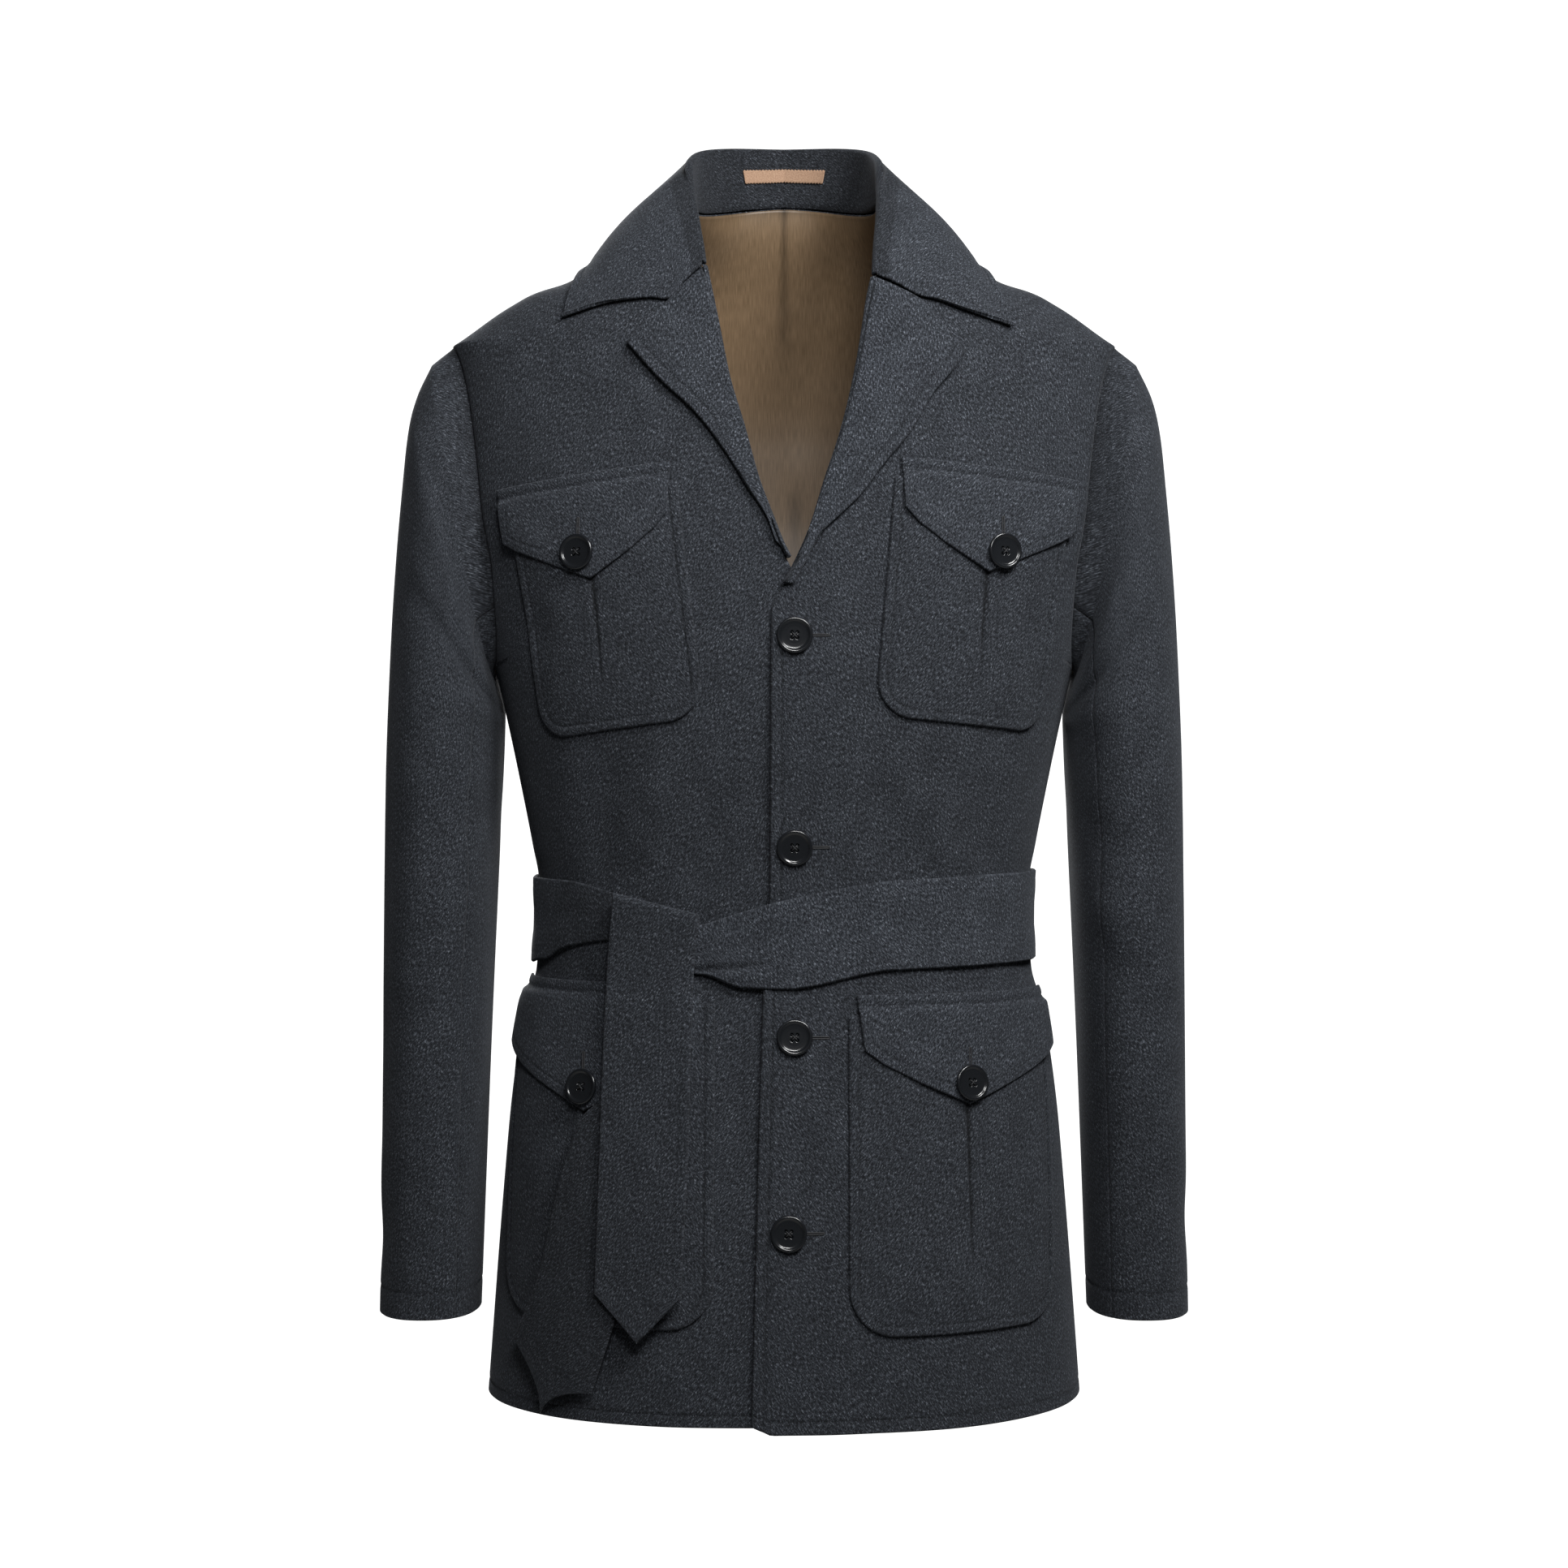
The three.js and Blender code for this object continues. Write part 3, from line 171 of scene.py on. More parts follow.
# Stations of the collar from the end of the lapel fold to the centre back: the height at which it meets
# the neck seam, the top of its roll, and the outer edge of its leaf
COLLAR_COLUMNS = "station seam_z fold_x fold_y fold_z edge_x edge_y edge_z"
COLLAR = {
    "left": table(COLLAR_COLUMNS, [
        [0, -61.7, 56.5, -71, -61, 149, -67, -95],
        [1, -42, 59, -53, -36, 146, -58, -83],
        [2, -24, 61.5, -34, -12, 141, -46, -68],
        [3, -9, 63, -15, 11, 136, -26, -53],
        [4, 0, 63.5, 3, 30, 131, 0, -42],
        [5, 2.7, 61, 28, 43, 121, 31, -38],
        [6, 8.3, 52, 52, 52, 100, 61, -35],
        [7, 13.2, 29, 74, 58, 60, 86, -30],
        [8, 15, 0, 85, 60, 0, 98, -25],
    ]),
    "right": table(COLLAR_COLUMNS, [
        [0, -53.7, 50, -66, -53, 144, -64, -88.5],
        [1, -37, 54, -50, -31, 142, -56, -79],
        [2, -21, 57.5, -33, -9, 139, -44, -66],
        [3, -8, 61, -15, 12, 136, -26, -53],
        [4, 0, 63.5, 3, 30, 132, 0, -42],
        [5, 2.7, 61, 28, 43, 121, 31, -38],
        [6, 8.3, 52, 52, 52, 100, 61, -35],
        [7, 13.2, 29, 74, 58, 60, 86, -30],
        [8, 15, 0, 85, 60, 0, 98, -25],
    ]),
}
COLLAR_STATIONS = 8
SHOULDER_STATION = 4
STAND_RISE = 0.9
STAND_LEAST_SLOPE = 0.35
COLLAR_END_SHIFT = 2.6
LEAF_BULGE = 7
LEAF_CLEAR = 0.9
FRONT_BLEND = 2.5

# The small roll on which collar and lapels turn over, and how the lapels lie on the fronts
ROLL_RADIUS = 2.15
ROLL_SHIFT = 1.1
LAPEL_SET_BACK = 0.6
LAPEL_LIFT = 3.3
LAPEL_SINK = 0.8
LAPEL_CORNER_LIFT = 1.2

# The armhole, and the rings of the sleeve from it down to the cuff: outer and inner edge seen from the front
ARMHOLE_FRONT = math.radians(29)
ARMHOLE_BACK = math.radians(26)
ARMHOLE_ROUND = 0.62
SLEEVE = table("ring outer_x outer_z inner_x inner_z half_depth middle_y", [
    [1, 236, -108, 194.8, -320, 66, 0],
    [2, 246, -130, 193.6, -325, 70, 0],
    [3, 252, -155, 192.0, -331, 73, 0],
    [4, 256, -190, 190.6, -337, 75, 0],
    [5, 260, -235, 189.8, -345, 76, 0],
    [6, 264, -300, 190.2, -362, 76, 0],
    [7, 267, -386, 191.8, -405, 74, -2],
    [8, 268, -475, 195, -480, 70, -4],
    [9, 268.5, -560, 198, -560, 64, -7],
    [10, 269, -650, 201, -650, 57, -10],
    [11, 270.5, -741, 204, -741, 50, -12],
])
SLEEVE_ROUND = 0.87
FRONT_SLEEVE_SEAM = 127.5
BACK_SLEEVE_SEAM = 232.5
ARMHOLE_GAP = 0.36
UNDERARM_OUT = 0.9
SLEEVE_SEAM_TURN = 0.0038

# Pockets. The inner top corner of the flap is at top_x and top_z, and the pocket tilts down to the side.
POCKET_COLUMNS = (
    "top_x top_z tilt flap_width patch_from patch_to patch_depth corner_radius"
    " corner_depth tip_depth tip_at slit button_x button_z"
).split()
POCKETS = {
    "chest_left": [75, -181, 5, 125, -3, 120, 166, 24, 42, 68, 0.5, 62, 138.5, -241],
    "chest_right": [73, -184, 7, 121, -3, 113, 165, 24, 42, 68, 0.49, 64, 130, -242],
    "hip_left": [46, -525, 0, 160, -5, 150, 212, 30, 44, 70, 0.46, 98, 117, -582],
    "hip_right": [52, -518, 0, 166, -8, 156, 215, 30, 50, 82, 0.47, 90, 126.5, -585],
}
FLAP_BAND = 7
FLAP_STEP = 11.5
PATCH_TOP = 13
FLAP_CUT = 0.08
FLAP_CUT_INNER = 9
FLAP_CUT_OUTER = 6
FLAP_LEAN_INNER = 6
FLAP_LEAN_OUTER = 2
FLAP_EDGE_LIFT = 0.7
FLAP_CLEAR = 0.7

# Buttons
BUTTON_SEAT = 0.7
FRONT_BUTTONS = [(6.7, -296), (6.7, -430), (6.7, -551.5), (3, -672.6)]

# Belt: upper and lower edge by the angle round the body, from behind the knot round the back to it again.
# 0 is the wearer's left side, 90 the centre back, -90 and 270 the centre front.
BELT = table("angle top bottom", [
    [-116, -486, -511], [-108, -480, -511.5], [-99, -471.5, -520], [-90, -464, -521], [-66, -452, -509],
    [-30, -448, -507], [0, -447, -506.5], [90, -448, -505], [180, -451.5, -510], [205, -452, -505],
    [216, -453, -496], [231, -460.5, -490.5], [240, -468, -490],
])
BELT_CLEAR = 1.0

# The hanging end in front, folded over the belt: its edges from the fold down
FRONT_TAIL = table("z left right", [
    [-466, -104.5, -53], [-480, -106, -54], [-510, -108.5, -55.5], [-560, -111, -57],
    [-640, -113, -59], [-712, -115, -62],
])
FRONT_TAIL_TIP = 29
FRONT_TAIL_SLOPE = 13
FRONT_TAIL_LIFT = 11.4
TAIL_HOOK_LIFT = 6.4
TAIL_HOOK_DROP = 11

# The end below it: both edges, from the knot down to the shoulders of its point
UNDER_TAIL = table("left_x left_z right_x right_z", [
    [-96, -505, -72, -505], [-104, -550, -72, -545], [-112, -590, -74, -590], [-124.5, -603, -78, -615],
    [-136, -633, -84, -645], [-144, -665, -92, -680], [-154, -707, -102, -722], [-170, -748, -118, -774],
])
UNDER_TAIL_TIP_X = -151
UNDER_TAIL_TIP_Z = -791
UNDER_TAIL_LIFT = 7.8
UNDER_TAIL_SHADE = 0.22

# Tape on the inside of the collar stand
TAPE_GAP = 0.4
TAPE_LOW = 0.45
TAPE_HIGH = 0.66
TAPE_FROM_STATION = 6.857

# Sewing: how far the lines of stitches lie from the edges, and the soft groove that each pulls into the cloth
EDGE_STITCH = 7.0
HEM_STITCH = 8.0
CUFF_STITCH = 18.0
GROOVE_DEPTH = 0.55
GROOVE_WIDTH = 0.9

# Painted shade: how much darker the cloth's colour is made in a groove of stitches and at a seam
GROOVE_SHADE = 0.3
SEAM_SHADE = 0.35

# Soft folds of the front: where each starts and ends, how wide it is, and how far it stands out or sinks.
# x is counted to the wearer's left.
FRONT_FOLDS = table("from_x from_z to_x to_z width height", [
    [58, -392, 78, -447, 13, -2.2],
    [96, -400, 108, -446, 12, 1.8],
    [128, -385, 132, -446, 15, -2.0],
    [-40, -398, -62, -458, 12, -2.4],
    [-78, -380, -92, -446, 14, 2.2],
    [-112, -372, -118, -446, 13, -2.4],
    [-146, -330, -140, -440, 15, 2.0],
    [150, -330, 146, -440, 15, 1.6],
    [30, -516, 36, -600, 11, -1.8],
    [88, -512, 80, -560, 12, 1.2],
    [-24, -520, -32, -640, 13, -2.2],
    [-64, -515, -56, -600, 12, 1.6],
    [-138, -515, -146, -620, 15, -2.0],
    [140, -515, 148, -610, 15, -1.8],
    [-60, -640, -75, -790, 22, 2.4],
    [20, -640, 28, -790, 20, -1.8],
    [95, -690, 104, -796, 24, 1.8],
    [150, -680, 165, -796, 22, -2.2],
    [-160, -660, -172, -796, 20, -2.2],
    [150, -125, 108, -172, 22, -1.6],
    [-150, -125, -112, -172, 22, -1.8],
    [188, -235, 150, -300, 15, -2.0],
    [-190, -235, -152, -300, 15, -2.2],
    [168, -215, 176, -320, 16, 1.6],
    [-170, -215, -176, -320, 16, 1.8],
])

# Soft folds of the back
BACK_FOLDS = table("from_x from_z to_x to_z width height", [
    [-168, -215, -118, -330, 20, -2.4],
    [166, -210, 112, -322, 19, -2.2],
    [-134, -195, -92, -300, 18, 1.6],
    [140, -200, 96, -306, 17, 1.8],
    [-60, -372, -48, -446, 14, -2.2],
    [-24, -385, -20, -446, 12, 1.8],
    [14, -376, 10, -446, 13, -2.0],
    [52, -384, 44, -446, 13, 1.8],
    [92, -370, 86, -446, 14, -2.2],
    [-104, -380, -96, -446, 14, 1.8],
    [-70, -508, -84, -620, 16, -2.2],
    [-20, -508, -24, -600, 15, 1.8],
    [34, -508, 40, -640, 17, -2.4],
    [84, -508, 98, -620, 16, 1.8],
    [0, -600, -6, -796, 26, 2.6],
    [-112, -620, -128, -796, 26, -2.6],
    [110, -620, 130, -796, 27, -2.4],
    [-60, -60, -110, -95, 24, 0.5],
    [60, -60, 110, -95, 24, 0.5],
    [0, -40, 0, -110, 30, -1.0],
])

# Soft folds of the sleeves: turn is 0 at the outer edge, 90 at the front, 180 at the inner edge
SLEEVE_FOLDS = {
    "left": table("from_ring from_turn to_ring to_turn width height", [
        [4.6, 150, 5.6, 60, 0.26, -2.2],
        [5.3, 170, 6.5, 70, 0.28, 1.8],
        [7.2, 150, 7.7, 40, 0.22, -2.0],
        [7.7, 160, 8.3, 60, 0.22, 1.6],
        [8.2, 140, 8.9, 45, 0.24, -1.8],
        [9.2, 120, 10.0, 30, 0.26, 1.4],
        [10.1, 60, 10.6, -40, 0.22, -1.2],
        [2.0, 40, 3.6, 120, 0.5, 1.4],
        [4.4, 250, 5.6, 330, 0.3, -2.2],
        [7.0, 210, 7.6, 330, 0.24, -2.2],
        [7.7, 220, 8.2, 340, 0.24, 1.8],
        [9.3, 230, 9.9, 340, 0.28, -1.4],
    ]),
    "right": table("from_ring from_turn to_ring to_turn width height", [
        [4.4, 150, 5.3, 50, 0.28, -2.4],
        [5.2, 165, 6.3, 65, 0.28, 2.0],
        [6.9, 155, 7.6, 45, 0.24, -2.0],
        [7.5, 160, 8.1, 50, 0.2, 1.6],
        [8.4, 145, 9.0, 35, 0.24, -1.8],
        [9.4, 110, 10.1, 20, 0.26, 1.4],
        [10.2, 70, 10.7, -30, 0.22, -1.2],
        [2.2, 40, 3.8, 120, 0.5, 1.5],
        [4.6, 245, 5.8, 325, 0.3, -2.2],
        [7.1, 205, 7.8, 330, 0.24, -2.0],
        [7.9, 220, 8.4, 340, 0.24, 1.8],
        [9.1, 230, 9.8, 340, 0.28, -1.4],
    ]),
}


# Reading curves and mixing numbers

def mix(a, b, t):
    return a + (b - a) * t


def smooth(start, end, value):
    t = np.clip((value - start) / (end - start), 0, 1)
    return t * t * (3 - 2 * t)


def bell(distance, width):
    return np.exp(-(distance / width) ** 2)


def curve(xs, ys):
    """A smooth curve through points, which never overshoots them."""
    order = np.argsort(xs)
    xs = np.asarray(xs, float)[order]
    ys = np.asarray(ys, float)[order]
    widths = np.diff(xs)
    steps = np.diff(ys) / widths
    slopes = np.zeros(len(xs))
    slopes[0] = steps[0]
    slopes[-1] = steps[-1]
    before, after = steps[:-1], steps[1:]
    same_way = before * after > 0
    total = np.where(same_way, before + after, 1)
    slopes[1:-1] = np.where(same_way, 2 * before * after / total, 0)

    def read(x):
        x = np.clip(x, xs[0], xs[-1])
        i = np.clip(np.searchsorted(xs, x, side="right") - 1, 0, len(xs) - 2)
        t = (x - xs[i]) / widths[i]
        rise = ys[i + 1] - ys[i]
        bend = slopes[i] * widths[i]
        curl = slopes[i + 1] * widths[i]
        return ys[i] + bend * t + (3 * rise - 2 * bend - curl) * t**2 + (bend + curl - 2 * rise) * t**3

    return read


def path(rows, columns):
    """A curve through a table of points, by the share of its length over the first two columns."""
    first, second = columns[:2]
    lengths = np.hypot(np.diff(rows[first]), np.diff(rows[second]))
    shares = np.concatenate([[0], np.cumsum(lengths)]) / lengths.sum()
    curves = [curve(shares, rows[name]) for name in columns]
    return lambda t: [read(t) for read in curves]


def refined(marks, step):
    """Numbers between marks that are about a step apart, with every mark kept."""
    out = [float(marks[0])]
    for a, b in zip(marks[:-1], marks[1:]):
        cells = max(1, math.ceil(abs(b - a) / step))
        out += [mix(a, b, (i + 1) / cells) for i in range(cells)]
    return np.array(out)


def unit(vectors):
    length = np.linalg.norm(vectors, axis=-1, keepdims=True)
    return vectors / np.maximum(length, 1e-9)


# The body that the cloth hangs on

half_width_at = curve(BODY["z"], BODY["half_width"])
front_depth_at = curve(BODY["z"], BODY["front"])
back_depth_at = curve(BODY["z"], BODY["back"])


def body_point(angle, z):
    """A point of the body's surface: angle 0 is the wearer's left side seam, a quarter turn the back."""
    c, s = np.cos(angle), np.sin(angle)
    reach = (np.abs(c) ** SQUARENESS + np.abs(s) ** SQUARENESS) ** (-1 / SQUARENESS)
    depth = np.where(s < 0, front_depth_at(z), back_depth_at(z))
    return np.stack([half_width_at(z) * c * reach, depth * s * reach, z + 0 * angle], axis=-1)


def body_normal(angle, z):
    turn, rise = 0.004, 1.0
    around = body_point(angle + turn, z) - body_point(angle - turn, z)
    up = body_point(angle, z + rise) - body_point(angle, z - rise)
    return unit(np.cross(around, up))


def fold_heights(folds, across, along):
    """The sum of soft ridges and troughs at points of a surface."""
    total = np.zeros(np.broadcast(across, along).shape)
    for from_x, from_z, to_x, to_z, width, height in zip(*folds.values()):
        way_x, way_z = to_x - from_x, to_z - from_z
        length = math.hypot(way_x, way_z)
        run = ((across - from_x) * way_x + (along - from_z) * way_z) / length**2
        off = ((across - from_x) * way_z - (along - from_z) * way_x) / length
        bow = off + 0.12 * width * np.sin(2.2 * math.pi * run)
        ends = smooth(-0.25, 0.3, run) * (1 - smooth(0.7, 1.25, run))
        total = total + height * bell(bow, width) * ends
    return total


def drape(angle, z):
    """How far the cloth stands out from the body's smooth form, shared by all that lies on it."""
    point = body_point(angle, z)
    front = smooth(6, 34, -point[..., 1])
    back = smooth(6, 34, point[..., 1])
    edges = smooth(16, 40, np.abs(z - ARMPIT_Z) + 400 * (np.abs(point[..., 1]) > 30))
    folds = front * fold_heights(FRONT_FOLDS, point[..., 0], z)
    folds = folds + back * fold_heights(BACK_FOLDS, point[..., 0], z)
    return folds * edges


def shoulder_rise(angle, z):
    """How far a point is raised so that the shoulder runs straight out to the sleeve head's padding."""
    half = half_width_at(np.maximum(z, SHOULDER_Z))
    ridge = SHOULDER_START_Z - SHOULDER_SLOPE * (half - SHOULDER_START_X)
    ridge = ridge - SHOULDER_DROOP * smooth(188, 226, half)
    rise = (ridge - np.maximum(z, SHOULDER_Z)) * smooth(-190, SHOULDER_Z, z)
    x = np.abs(body_point(angle, z)[..., 0])
    return rise * smooth(0.62, 0.96, x / half_width_at(z)) * smooth(140, 176, x)


def on_body(angle, z, out):
    """A point moved out from the body's draped surface."""
    angle, z = np.asarray(angle, float), np.asarray(z, float)
    points = body_point(angle, z) + body_normal(angle, z) * np.asarray(out + drape(angle, z))[..., None]
    return points + shoulder_rise(angle, z)[..., None] * np.array([0, 0, 1.0])


def front_angle(x, z):
    across = np.clip(x / half_width_at(z), -1, 1)
    deep = (1 - np.abs(across) ** SQUARENESS) ** (1 / SQUARENESS)
    return np.arctan2(-deep, across)


ARC_ANGLES = np.linspace(-math.pi / 2, math.radians(12), 260)


def arc_lengths(z):
    """For each height, the length along the cloth from the centre front to each of ARC_ANGLES."""
    z = np.asarray(z, float)
    points = body_point(np.broadcast_to(ARC_ANGLES, z.shape + ARC_ANGLES.shape), z[..., None])
    steps = np.linalg.norm(np.diff(points, axis=-2), axis=-1)
    return np.concatenate([np.zeros(z.shape + (1,)), np.cumsum(steps, axis=-1)], axis=-1)


def angle_along(length, z):
    flat_length, flat_z = np.broadcast_arrays(length, z)
    lengths = arc_lengths(flat_z.ravel())
    angles = [np.interp(want, known, ARC_ANGLES) for want, known in zip(flat_length.ravel(), lengths)]
    return np.array(angles).reshape(flat_z.shape)


def length_at(x, z):
    return float(np.interp(front_angle(x, z), ARC_ANGLES, arc_lengths(np.array([z]))[0]))


def lap_lift(side, x, z):
    """The left front lies on the right one, so it stands out by a wall round the closure."""
    if side != "left":
        return 0 * x
    return (CLOTH + LAP_GAP) * (1 - smooth(24, 62, x)) * (1 - smooth(-250, -205, z))


def to_side(side, points):
    if side == "right":
        points = points * np.array([-1, 1, 1])
    return points


def on_front_angle(side, angle, z, out):
    """A point on a front, where the angle is counted towards the panel's own side."""
    angle, z = np.broadcast_arrays(np.asarray(angle, float), np.asarray(z, float))
    x = body_point(angle, z)[..., 0]
    if side == "right":
        angle = -math.pi - angle
    return on_body(angle, z, out + lap_lift(side, x, z))


def on_front(side, x, z, out):
    x, z = np.broadcast_arrays(np.asarray(x, float), np.asarray(z, float))
    return on_front_angle(side, front_angle(x, z), z, out)


def front_normal(side, x, z):
    return to_side(side, body_normal(front_angle(x, z), np.asarray(z, float)))


# Meshes

def grid_faces(rows, columns, start=0):
    i, j = np.meshgrid(np.arange(rows - 1), np.arange(columns - 1), indexing="ij")
    a = (start + i * columns + j).ravel()
    return np.stack([a, a + 1, a + columns + 1, a + columns], axis=1)


def border_of(rows, columns):
    """The row and column numbers of a grid's border points, once round."""
    top = [(0, j) for j in range(columns - 1)]
    right = [(i, columns - 1) for i in range(rows - 1)]
    bottom = [(rows - 1, j) for j in range(columns - 1, 0, -1)]
    left = [(i, 0) for i in range(rows - 1, 0, -1)]
    places = np.array(top + right + bottom + left)
    return places[:, 0], places[:, 1]


def outward_along(grid):
    """At each border point, the direction along the cloth that leads off its edge."""
    rows, columns = grid.shape[:2]
    ways = []
    for i, j in zip(*border_of(rows, columns)):
        way = np.zeros(3)
        if i == 0:
            way += unit(grid[0, j] - grid[1, j])
        if i == rows - 1:
            way += unit(grid[-1, j] - grid[-2, j])
        if j == 0:
            way += unit(grid[i, 0] - grid[i, 1])
        if j == columns - 1:
            way += unit(grid[i, -1] - grid[i, -2])
        ways.append(unit(way))
    return np.array(ways)


def cloth_lengths(grid, straight_row):
    """Lengths across and down the cloth, in millimetres, counted from a row that runs straight."""
    across = np.linalg.norm(np.diff(grid, axis=1), axis=-1)
    down = np.linalg.norm(np.diff(grid, axis=0), axis=-1)
    u = np.concatenate([np.zeros((len(grid), 1)), np.cumsum(across, axis=1)], axis=1)
    v = np.concatenate([np.zeros((1, grid.shape[1])), np.cumsum(down, axis=0)], axis=0)
    middle = grid.shape[1] // 2
    return u - u[:, middle:middle + 1], v - v[straight_row]


def mesh_piece(name, points, faces, materials, face_materials, uvs=None):
    """A mesh object. uvs are lengths along the cloth, in millimetres, for the weave to follow."""
    mesh = bpy.data.meshes.new(name)
    mesh.from_pydata((points * MM).tolist(), [], faces)
    if uvs is not None:
        layer = mesh.uv_layers.new(name="cloth")
        corners = np.zeros(len(mesh.loops), np.int32)
        mesh.loops.foreach_get("vertex_index", corners)
        layer.data.foreach_set("uv", (uvs[corners] * MM).astype(np.float32).ravel())
    for material in materials:
        mesh.materials.append(material)
    mesh.polygons.foreach_set("material_index", face_materials.astype(np.int32))
    mesh.shade_smooth()
    piece = bpy.data.objects.new(name, mesh)
    bpy.context.scene.collection.objects.link(piece)
    return piece


# A free edge is folded round; an edge that is sewn to its neighbour stays sharp and closes the seam
EDGE_PULL = 0.28
EDGE_BULGE = 0.1
SEWN_PULL = 0.04
SEWN_BULGE = 0.085


def cloth_shell(name, outer, inner, materials, inner_material=0, sewn=(), straight_row=0):
    """A closed piece of cloth between an outer and an inner grid, with soft free edges."""
    outer, inner = outer.copy(), inner.copy()
    rows, columns = outer.shape[:2]
    i, j = border_of(rows, columns)
    at_edge = {"first": i == 0, "last": i == rows - 1, "near": j == 0, "far": j == columns - 1}
    is_sewn = np.zeros(len(i), bool)
    for edge in sewn:
        is_sewn |= at_edge[edge]
    ways = outward_along(outer)
    wall = np.linalg.norm(outer[i, j] - inner[i, j], axis=-1)[:, None]
    bulge = np.where(is_sewn, SEWN_BULGE, EDGE_BULGE)[:, None]
    pull = np.where(is_sewn, SEWN_PULL, EDGE_PULL)[:, None]
    middle = (outer[i, j] + inner[i, j]) / 2 + ways * wall * bulge
    outer[i, j] -= ways * wall * pull
    inner[i, j] -= ways * wall * pull
    u, v = cloth_lengths(outer, straight_row)
    grid_uv = np.stack([u, v], axis=-1).reshape(-1, 2)
    count = rows * columns
    points = np.concatenate([outer.reshape(-1, 3), inner.reshape(-1, 3), middle])
    uvs = np.concatenate([grid_uv, grid_uv, grid_uv[i * columns + j]])
    around = np.arange(len(i))
    after = np.roll(around, -1)
    at = i * columns + j
    outer_rim = np.stack([at[after], at, 2 * count + around, 2 * count + after], axis=1)
    inner_rim = np.stack([2 * count + after, 2 * count + around, count + at, count + at[after]], axis=1)
    faces = np.concatenate([
        grid_faces(rows, columns),
        grid_faces(rows, columns, count)[:, ::-1],
        outer_rim,
        inner_rim,
    ])
    corner = points[faces]
    volume = np.einsum("ij,ij->i", corner[:, 0], np.cross(corner[:, 1], corner[:, 2])).sum()
    volume += np.einsum("ij,ij->i", corner[:, 0], np.cross(corner[:, 2], corner[:, 3])).sum()
    if volume < 0:
        faces = faces[:, ::-1]
    cells = (rows - 1) * (columns - 1)
    face_materials = np.zeros(len(faces), int)
    face_materials[cells:2 * cells] = inner_material
    return mesh_piece(name, points, faces.tolist(), materials, face_materials, uvs)


def grid_normals(grid):
    down = np.gradient(grid, axis=0)
    across = np.gradient(grid, axis=1)
    return unit(np.cross(down, across))


def finish_piece(piece, slot, *nodes):
    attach(piece, "root")
    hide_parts(*nodes)
    return piece


def darken(piece, values, shape):
    """Stores the painted shade of each point, in seams, grooves and shaded places, with painted light where
    the value is below 0, for the material to read.
    """
    values = np.broadcast_to(values, shape)
    i, j = border_of(*shape)
    flat = np.concatenate([values.ravel(), values.ravel(), values[i, j]]).astype(np.float32)
    layer = piece.data.attributes.new("painted_shade", "FLOAT", "POINT")
    layer.data.foreach_set("value", flat)


def flannel_piece(node, outer, inner, darker, lined=None, sewn=(), straight_row=0):
    """A piece of flannel that stands for one solid. lined says which cells have lining on the inside."""
    materials = [FLANNEL] if lined is None else [FLANNEL, LINING]
    inside = 0 if lined is None else lined.ravel().astype(int)
    piece = cloth_shell(f"cloth_{node}", outer, inner, materials, inside, sewn, straight_row)
    darken(piece, darker, outer.shape[:2])
    return finish_piece(piece, "wool_flannel", node)


# Materials

def linear(colour):
    """An sRGB hex colour as the linear numbers that a shader takes."""
    parts = [int(colour[i:i + 2], 16) / 255 for i in (1, 3, 5)]
    return [p / 12.92 if p <= 0.04045 else ((p + 0.055) / 1.055) ** 2.4 for p in parts] + [1]


def add_node(tree, kind, inputs, **settings):
    """Adds a shader node. inputs holds, by name or number, a value, or a node or output to link from."""
    node = tree.nodes.new(kind)
    for name, value in settings.items():
        setattr(node, name, value)
    for key, value in inputs.items():
        if isinstance(value, bpy.types.Node):
            tree.links.new(value.outputs[0], node.inputs[key])
        elif isinstance(value, bpy.types.NodeSocket):
            tree.links.new(value, node.inputs[key])
        else:
            node.inputs[key].default_value = value
    return node


def new_material(name, looks):
    """A material, its node tree and its shader, with the looks that are the same all over already set."""
    material = bpy.data.materials.new(name)
    material.use_nodes = True
    shader = material.node_tree.nodes["Principled BSDF"]
    for socket, value in looks.items():
        shader.inputs[socket].default_value = value
    return material, material.node_tree, shader


def set_stops(ramp, stops):
    while len(ramp.elements) < len(stops):
        ramp.elements.new(1)
    for element, (position, colour) in zip(ramp.elements, stops):
        element.position = position
        element.color = linear(colour)


def cloth_grid(tree, turn, across, down):
    """The cloth's own lengths, turned and squeezed so that a noise on them runs as streaks."""
    lengths = add_node(tree, "ShaderNodeUVMap", {}, uv_map="cloth")
    turning = {"Vector": lengths, "Angle": math.radians(turn)}
    turned = add_node(tree, "ShaderNodeVectorRotate", turning, rotation_type="Z_AXIS")
    squeezing = {0: turned, 1: (1 / across, 1 / down, 1)}
    return add_node(tree, "ShaderNodeVectorMath", squeezing, operation="MULTIPLY")


def thread_pattern(tree, turn, across, down, roughness):
    """Uneven threads or patches, so many metres apart across and down the cloth."""
    grid = cloth_grid(tree, turn, across, down)
    inputs = {"Vector": grid, "Scale": 1, "Detail": 2, "Roughness": roughness}
    return add_node(tree, "ShaderNodeTexNoise", inputs)


def with_painted_shade(tree, colour):
    """A colour made darker by the piece's painted shade, and lighter where that painted value is below 0."""
    seam = add_node(tree, "ShaderNodeAttribute", {}, attribute_name="painted_shade")
    lit = add_node(tree, "ShaderNodeMath", {0: 1.0, 1: seam.outputs["Fac"]}, operation="SUBTRACT")
    return add_node(tree, "ShaderNodeVectorMath", {0: colour, "Scale": lit}, operation="SCALE")


